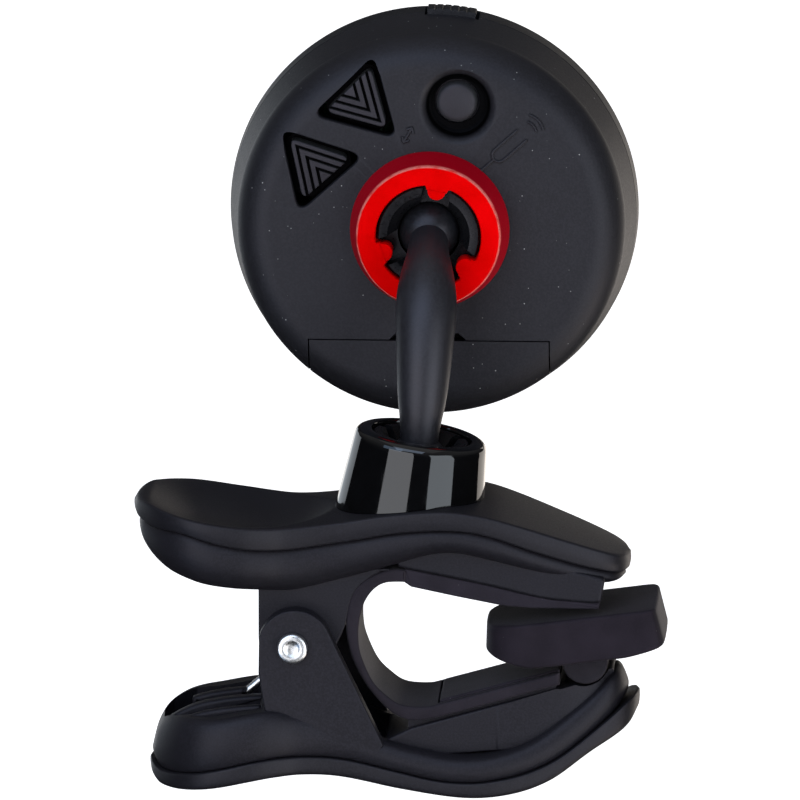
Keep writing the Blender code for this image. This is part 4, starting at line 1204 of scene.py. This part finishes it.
def make_triangle_buttons():
    """Rubber caps with three nested chevron grooves stepped into each."""
    for label, (centre, angle, chevron_angle) in TRIANGLES.items():
        outline = rounded_triangle(centre, BUTTON_CIRCUMRADIUS, angle, 0.6)
        button = plate(outline, -2.9, CAP_TOP, 0.14)
        cut(button, *[chevron(centre, chevron_angle, reach, 0.72, 0.55) for reach in CHEVRON_REACHES])
        flange = cylinder(3.9, -2.8, -2.3, centre)
        joined(button, flange, cylinder(1.1, -4.6, -2.6, centre, 24))
        shown(button, f"{label}_cap", HEAD, "buttons", f"{label}_key", f"{label}_button")


def make_cal_button():
    profile = [(0, -0.66), (1.55, -0.68), (1.9, -0.76), (2.1, -0.95), (2.2, -1.3), (2.2, -2.3)]
    profile += [(3.3, -2.3), (3.3, -2.8), (1.1, -2.8), (1.1, -4.6), (0, -4.6)]
    button = moved_to(turned(profile, 96), CAL_CENTRE)
    shown(button, "cal_cap", HEAD, "buttons", "cal_key", "cal_button", look="round_button")


def make_power_button():
    """A low tab on the rim whose outside follows the rim; fine grooves run across it."""
    first, last = POWER_ANGLES
    outline = arc((0, 0), FRONT_RADIUS + 0.33, first + 0.5, last - 0.5, 12)
    outline += arc((0, 0), 20.2, last, first, 12)
    button = plate(filleted(outline, 0.15), *POWER_DEPTHS, 0.12)
    grooves = []
    for i in range(5):
        middle = arc((0, 0), FRONT_RADIUS + 0.42, first + 3 + 2.2 * i, first + 3 + 2.2 * i, 1)[0]
        grooves.append(cylinder(0.2, -13, -8, middle, 16))
    cut(button, *grooves)
    joined(button, box((1, 18.8, -9.5), (3, 20.4, -9.2)))
    shown(button, "power_tab", HEAD, "bezel", "power_key", "power_button")


def make_bezel():
    top, shelf, lip = SPLIT_Z - 0.05, -11.7, LENS_RADIUS + 0.12
    profile = [(WINDOW_RADIUS, top), (HEAD_RADIUS + 0.1, top), (HEAD_RADIUS + 0.17, top - 0.1)]
    profile += arc((FRONT_RADIUS - 0.8, FRONT_Z + 0.8), 0.8, 0, -90, 8)
    profile += [(LENS_RADIUS + 0.45, FRONT_Z), (lip, FRONT_Z + 0.3), (lip, shelf), (WINDOW_RADIUS, shelf)]
    bezel = cut(turned(profile, HEAD_SIDES, looped=True), power_gate())
    shown(bezel, "bezel_ring", HEAD, "bezel", "head", "front_bezel", 30)


def make_lens():
    edge = beside((LENS_RADIUS, -12), [(0, 0), (0, -0.65), (-0.25, -0.88)])
    profile = [(0, -12)] + edge + [(0, -12.9)]
    shown(turned(profile, 192), "lens_disc", HEAD, "lens", "head", "display_lens", 20)


def make_display_mask():
    """The dark printed border round the display, under the lens."""
    mask = cylinder(WINDOW_RADIUS - 0.1, -11.8, -11.73, sides=128)
    cut(mask, plate(rounded_box((-11.5, -9.5), (11.5, 9.5), 0.8), -12.5, -11))
    shown(mask, "display_mask", HEAD, "bezel", "head")


def make_display_scale():
    """Plain bars under the lens: a tuning scale as an arc of ticks and a row of level bars."""
    outlines = []
    for i in range(21):
        length, half = (1.1, 0.11) if i % 5 else (1.9, 0.17)
        tick = beside((SCALE_RADIUS, 0), [(-length, -half), (0, -half), (0, half), (-length, half)])
        outlines.append(turned_about((0, -2.4), tick, 90 + 5.2 * (i - 10)))
    for i in range(5):
        x = 2.6 * (i - 2)
        outlines.append(rounded_box((x - 0.8, -7.4), (x + 0.8, -6.4), 0.2))
    bars = [plate(outline, SCALE_LOW, SCALE_HIGH) for outline in outlines]
    shown(joined(*bars), "display_scale", HEAD, "diffuser", "head")


def make_clamp_ring():
    top = RING_HEIGHT
    base_radius, top_radius = RING_RADII
    profile = [(SOCKET_HOLE, HAIR), (SOCKET_HOLE, top - 0.12), (SOCKET_HOLE + 0.12, top)]
    profile += beside((top_radius, top), [(-0.35, 0), (-0.14, -0.05), (-0.03, -0.16), (0.03, -0.38)])
    profile += [(base_radius - 0.05, HAIR + 0.3), (base_radius, HAIR)]
    ring = turned(profile, 192, looped=True)
    middle = TAB_REACH + TAB_HALF
    side = smooth_line([(middle, -TAB_HALF), (5.15, -1.12), (5.45, -1.22), (5.72, -1.5), (6.5, -2)], 3)
    outline = arc((middle, 0), TAB_HALF, 90, 265, 14) + side + mirrored(side[1:])
    joined(ring, *[spun(plate(outline, 1.6, top, 0.1), angle) for angle in TAB_ANGLES])
    shown(ring, "red_clamp", HEAD, "red_ring", "head", "clamp_ring")


def make_upper_socket():
    outer = SOCKET_HOLE - 0.15
    profile = seat_line() + [(4.3, 3.2), (4.5, 3.38), (4.75, 3.42), (outer - 0.2, 3.42), (outer, 3.2)]
    profile += [(outer, -2.3), (7.4, -2.3), (7.4, -3), (outer - 0.3, -3), (4, -4.6), (0, -4.6)]
    cup = turned(profile)
    cut(cup, *slots_at(TAB_ANGLES, (2, -1.55, 1.35), (8, 1.55, 6)))
    shown(cup, "upper_fingers", HEAD, "socket", "head", "socket_cup")


def finish_inner_nodes():
    """Materials for the CAD nodes that stay as they are, inside the head and the foot."""
    looks = {
        "steel": ["foot_pin", "battery", "contact_positive", "contact_negative"],
        "lcd": ["lcd_panel"],
        "diffuser": ["backlight"],
        "zebra": ["zebra_connector"],
        "board": ["circuit_board"],
        "brass": ["piezo_disc"],
        "switch": ["up_switch", "down_switch", "cal_switch", "power_switch"],
    }
    looks["steel"] += [f"board_screw_{i}" for i in range(1, 5)]
    for look, nodes in looks.items():
        for node in nodes:
            frame["nodes"][node].material_slots[0].material = LOOKS[look]


# Stage, light and camera.


def towards(azimuth, elevation):
    """The direction out to an azimuth, where 0 is the clip's near side and 90 is its right."""
    a, e = radians(azimuth), radians(elevation)
    return Vector((sin(a) * cos(e), -cos(a) * cos(e), sin(e)))


def make_camera():
    a, e = radians(VIEW_AZIMUTH), radians(VIEW_ELEVATION)
    right = Vector((cos(a), sin(a), 0))
    up = Vector((-sin(a) * sin(e), cos(a) * sin(e), cos(e)))
    back = towards(VIEW_AZIMUTH, VIEW_ELEVATION)
    camera = linked("camera", bpy.data.cameras.new("camera"))
    camera.data.sensor_width = SENSOR
    camera.data.lens = SENSOR * VIEW_DISTANCE / VIEW_WIDTH
    camera.data.clip_start, camera.data.clip_end = 0.1, 20
    target = CLIP.to_translation() + (right * VIEW_CENTRE[0] + up * VIEW_CENTRE[1]) * MM
    camera.location = target + back * VIEW_DISTANCE * MM
    camera.rotation_euler = (-back).to_track_quat("-Z", "Y").to_euler()
    bpy.context.scene.camera = camera


def make_floor():
    """A plain pale floor, low enough for the lower jaw to open over it. It throws no light on the
    object, so that the panels alone shape it."""
    look = Look("pale_floor")
    tone = look.mixed(look.noise(60), (0.86, 0.86, 0.86), (0.89, 0.89, 0.89))
    others = {"Specular IOR Level": 0.1, "Emission Color": WHITE, "Emission Strength": 0.95}
    reach, level = FLOOR_REACH, cad_bounds[0].z / MM - FLOOR_DROP
    floor = box((-reach, -reach, level - 5), (reach, reach, level))
    floor.name = "floor"
    floor.data.transform(Matrix.Scale(MM, 4))
    floor.data.materials.append(look.finish(tone, 0.9, others=others))
    floor.visible_diffuse = False
    floor.visible_glossy = False
    floor.visible_shadow = False


def make_world():
    """A studio that is dark at the horizon and bright overhead."""
    world = bpy.data.worlds.new("studio")
    bpy.context.scene.world = world
    world.use_nodes = True
    sky = Nodes(world.node_tree, "Generated")
    background = world.node_tree.nodes["Background"]
    sky.wire(background.inputs["Strength"], sky.ranged(sky.height(sky.place), 0.1, 0.7, 0.012, 0.18))
    sky.wire(background.inputs["Color"], (1, 0.99, 1))


def area_light(name, azimuth, elevation, distance, size, power, colour=WHITE, low=None):
    """A soft panel that faces the object. Azimuth 0 is where the camera is, and 90 is to its right;
    low, if given, is how far its lower edge is over the CAD model's lowest point."""
    light = bpy.data.lights.new(name, "AREA")
    light.shape = "RECTANGLE"
    light.size, light.size_y = size[0] * MM, size[1] * MM
    light.energy = power
    light.color = colour
    panel = linked(name, light)
    back = towards(azimuth + VIEW_AZIMUTH, elevation)
    panel.location = CLIP.to_translation() + Vector(LIGHT_TARGET) * MM + back * distance * MM
    if low is not None:
        panel.location.z = cad_bounds[0].z + (low + size[1] / 2) * MM
    panel.rotation_euler = back.to_track_quat("Z", "Y").to_euler()
    panel.visible_camera = False


def make_lights():
    cool, warm, sky, blue = (0.84, 0.92, 1), (1, 0.92, 0.84), (0.6, 0.75, 1), (0.5, 0.7, 1)
    lights = [
        ("left_panel", -31, 0, 330, (270, 300), 0.6, (0.93, 0.95, 1), -120),
        ("right_panel", 41, 0, 330, (250, 300), 0.62, cool, -120),
        ("low_front", 28, -30, 200, (140, 100), 0.06),
        ("high_front", -15, 48, 500, (400, 300), 0.9, sky),
        ("key", 75, -38, 600, (300, 200), 1, warm),
        ("overhead", 0, 88, 900, (900, 900), 0.6),
        ("back", 180, -9, 800, (760, 260), 0.55, warm),
        ("back_left", -146, -4, 600, (460, 300), 0.5, cool),
        ("back_right", 146, -9, 600, (460, 280), 0.6, warm),
        ("back_high", 160, 12, 700, (260, 120), 0.11, warm),
        ("blue_high", -48, 30, 500, (300, 200), 0.3, blue),
        ("blue_low", -48, -30, 400, (200, 150), 0.1, blue),
    ]
    for light in lights:
        area_light(*light)
    bpy.context.scene.view_settings.view_transform = "Standard"


for make in (
    make_camera, make_floor, make_world, make_lights,
    make_upper_cover, make_upper_hull, make_lower_hull, make_lower_cover, make_rivet, make_spring,
    make_upper_pad, make_strip, make_lower_pad, make_foot, make_knuckle,
    make_collar, make_lower_socket, make_balls, make_stem,
    make_rear_shell, make_door, make_marks, make_triangle_buttons, make_cal_button, make_power_button,
    make_bezel, make_lens, make_display_mask, make_display_scale, make_clamp_ring, make_upper_socket,
    finish_inner_nodes,
):
    make()
